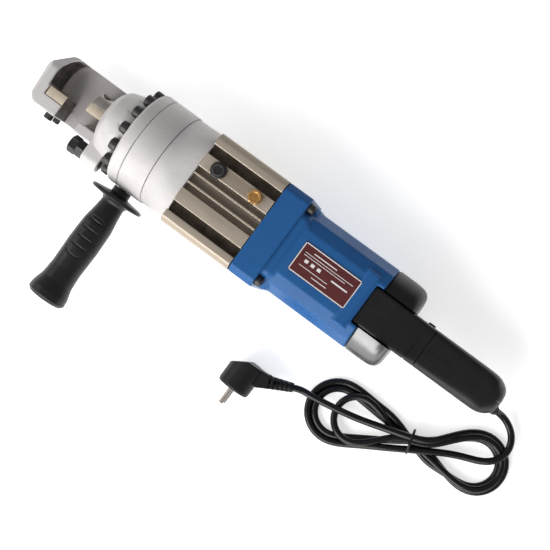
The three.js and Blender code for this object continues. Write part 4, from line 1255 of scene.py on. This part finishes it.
def plug():
    round_body = spun([
        (118, 0), (118, 18.4), (152.5, 18.4), (PLUG_FACE, 17.2), (PLUG_FACE, 0),
    ], "y", (PLUG_X, PLUG_Z), 96)
    made = placed("plug_body_moulding", round_body)
    plan = softened([(-39, 157, 0), (-39, 132.5, 4), (PLUG_X, 121, 5), (-77, 121, 3), (-77, 157, 0)], 3)
    combined(made, pushed(plan, "z", (FLOOR - 1, 0)), "INTERSECT")
    neck = softened([
        (-77, 120.6), (-90, 118.6), (-94.5, 128.6), (-78, 139), (PLUG_X, 139), (PLUG_X, 121),
    ], 3)
    combined(made, pushed(neck, "z", (PLUG_Z - 9, PLUG_Z + 9)), "UNION")
    length = (RELIEF_END - RELIEF_START).length
    sleeve = spun([(-2, 0), (-2, 8.2), (4, 7.8), (length, 5.2), (length, 0)], "z", steps=64)
    combined(made, aimed(sleeve, RELIEF_START, RELIEF_END), "UNION")
    slots = []
    for i in range(5):
        start = 9.5 + i * 5
        for across, first in (((1.2, 12), start), ((-12, -1.2), start + 2.5)):
            cutter = block(across, (-12, 12), (first, first + 2.2))
            slots.append(aimed(cutter, RELIEF_START, RELIEF_END))
    carved(made, *slots)
    core = spun([(0, 0), (0, 4.5), (length, 4.4), (length, 0)], "z", steps=40)
    combined(made, aimed(core, RELIEF_START, RELIEF_END), "UNION")
    cast_soft(made, 0.45, 3)
    dressed(made, "machine", "rubber", "plug_body", sharp=80)
    for level, sign in (("upper", 1), ("lower", -1)):
        pin = turned([
            (PLUG_FACE - 1, 0, 0), (PLUG_FACE - 1, 2.9, 0.1), (PLUG_FACE + 1.2, 2.9, 0.4),
            (PLUG_FACE + 1.4, 2.4, 0.1), (PLUG_FACE + 19, 2.4, 1.6), (PLUG_FACE + 19, 0, 0),
        ], 0.3, 4, "y", (PLUG_X, PLUG_Z + sign * 9.5), 40)
        piece("plug_pin_" + level, pin, "steel")
    return made


# ---------------------------------------------------------------- setting
def add_floor():
    reach = (-4000, 4000)
    floor = placed("studio_floor", block(reach, reach, (FLOOR - 20, FLOOR - 0.05)))
    floor.data.materials.append(surface(
        "studio_floor", (0.90, 0.90, 0.90), (0.885, 0.885, 0.885), (0.75, 0.85), [(300, 0.01, EVEN)],
        patch_scale=3, Specular_IOR_Level=0.1, Emission_Color=(1, 1, 1, 1), Emission_Strength=0.58,
    ))


def add_light(name, place_at, aim, size, power, colour=(1, 1, 1)):
    data = bpy.data.lights.new(name, "AREA")
    data.shape = "RECTANGLE"
    data.size, data.size_y = size
    data.energy = power
    data.color = colour
    light = bpy.data.objects.new(name, data)
    bpy.context.scene.collection.objects.link(light)
    light.location = Vector(place_at)
    light.rotation_euler = (Vector(aim) - light.location).to_track_quat("-Z", "Y").to_euler()


def add_lights():
    """A broad key from the side handle's side, a weaker one from the nose and a dim zenith."""
    middle = (0, 0, 0.03)
    add_light("key_softbox", (0.8, 3.5, 3.3), middle, (4.2, 3.0), 172)
    add_light("nose_softbox", (2.6, 0.9, 1.9), middle, (1.6, 1.4), 18)
    add_light("strip_softbox", (-0.2, 2.6, 0.85), middle, (3.4, 0.9), 38)
    world = bpy.data.worlds.new("studio")
    world.use_nodes = True
    tree = world.node_tree
    background = tree.nodes["Background"]
    way = node(tree, "TexCoord").outputs["Generated"]
    along, across, up = node(tree, "SeparateXYZ", {"Vector": way}).outputs
    facing = calculated(tree, "ADD", across, calculated(tree, "MULTIPLY", along, 0.45))
    share = spread(tree, facing, -0.8, 0.7, 0, 1)
    horizon = mixed(tree, share, (0.20, 0.20, 0.21), (0.75, 0.75, 0.75))
    height = spread(tree, up, 0.2, 0.9, 0, 1)
    tree.links.new(mixed(tree, height, horizon, (0.30, 0.30, 0.305)), background.inputs["Color"])
    background.inputs["Strength"].default_value = 1.0
    bpy.context.scene.world = world
    bpy.context.scene.view_settings.view_transform = "Standard"


# ---------------------------------------------------------------- putting it together
def dress_frame():
    """The CAD nodes that stay in view take the finish of their material slot."""
    slots = {part["node"]: part["material_slot"] for part in frame["record"]["subparts"]}
    for name, made in frame["nodes"].items():
        made.data.materials.clear()
        made.data.materials.append(FINISHES[slots[name]])


dress_frame()
cord, cord_length = add_cord()
tie = add_tie()
head_casting()
head_details()
blades()
piston()
return_spring()
cylinder()
pump_case()
release_knob()
gear_case()
motor_housing()
nameplate()
# Both covers are the same black plastic; the left one takes gloss_black, its lit copy.
rear_cover(1, "gloss_black")
rear_cover(-1, "black_plastic")
handle()
guard = cord_guard()
trigger_and_lock()
side_handle()
plug_moulding = plug()
add_floor()
add_lights()
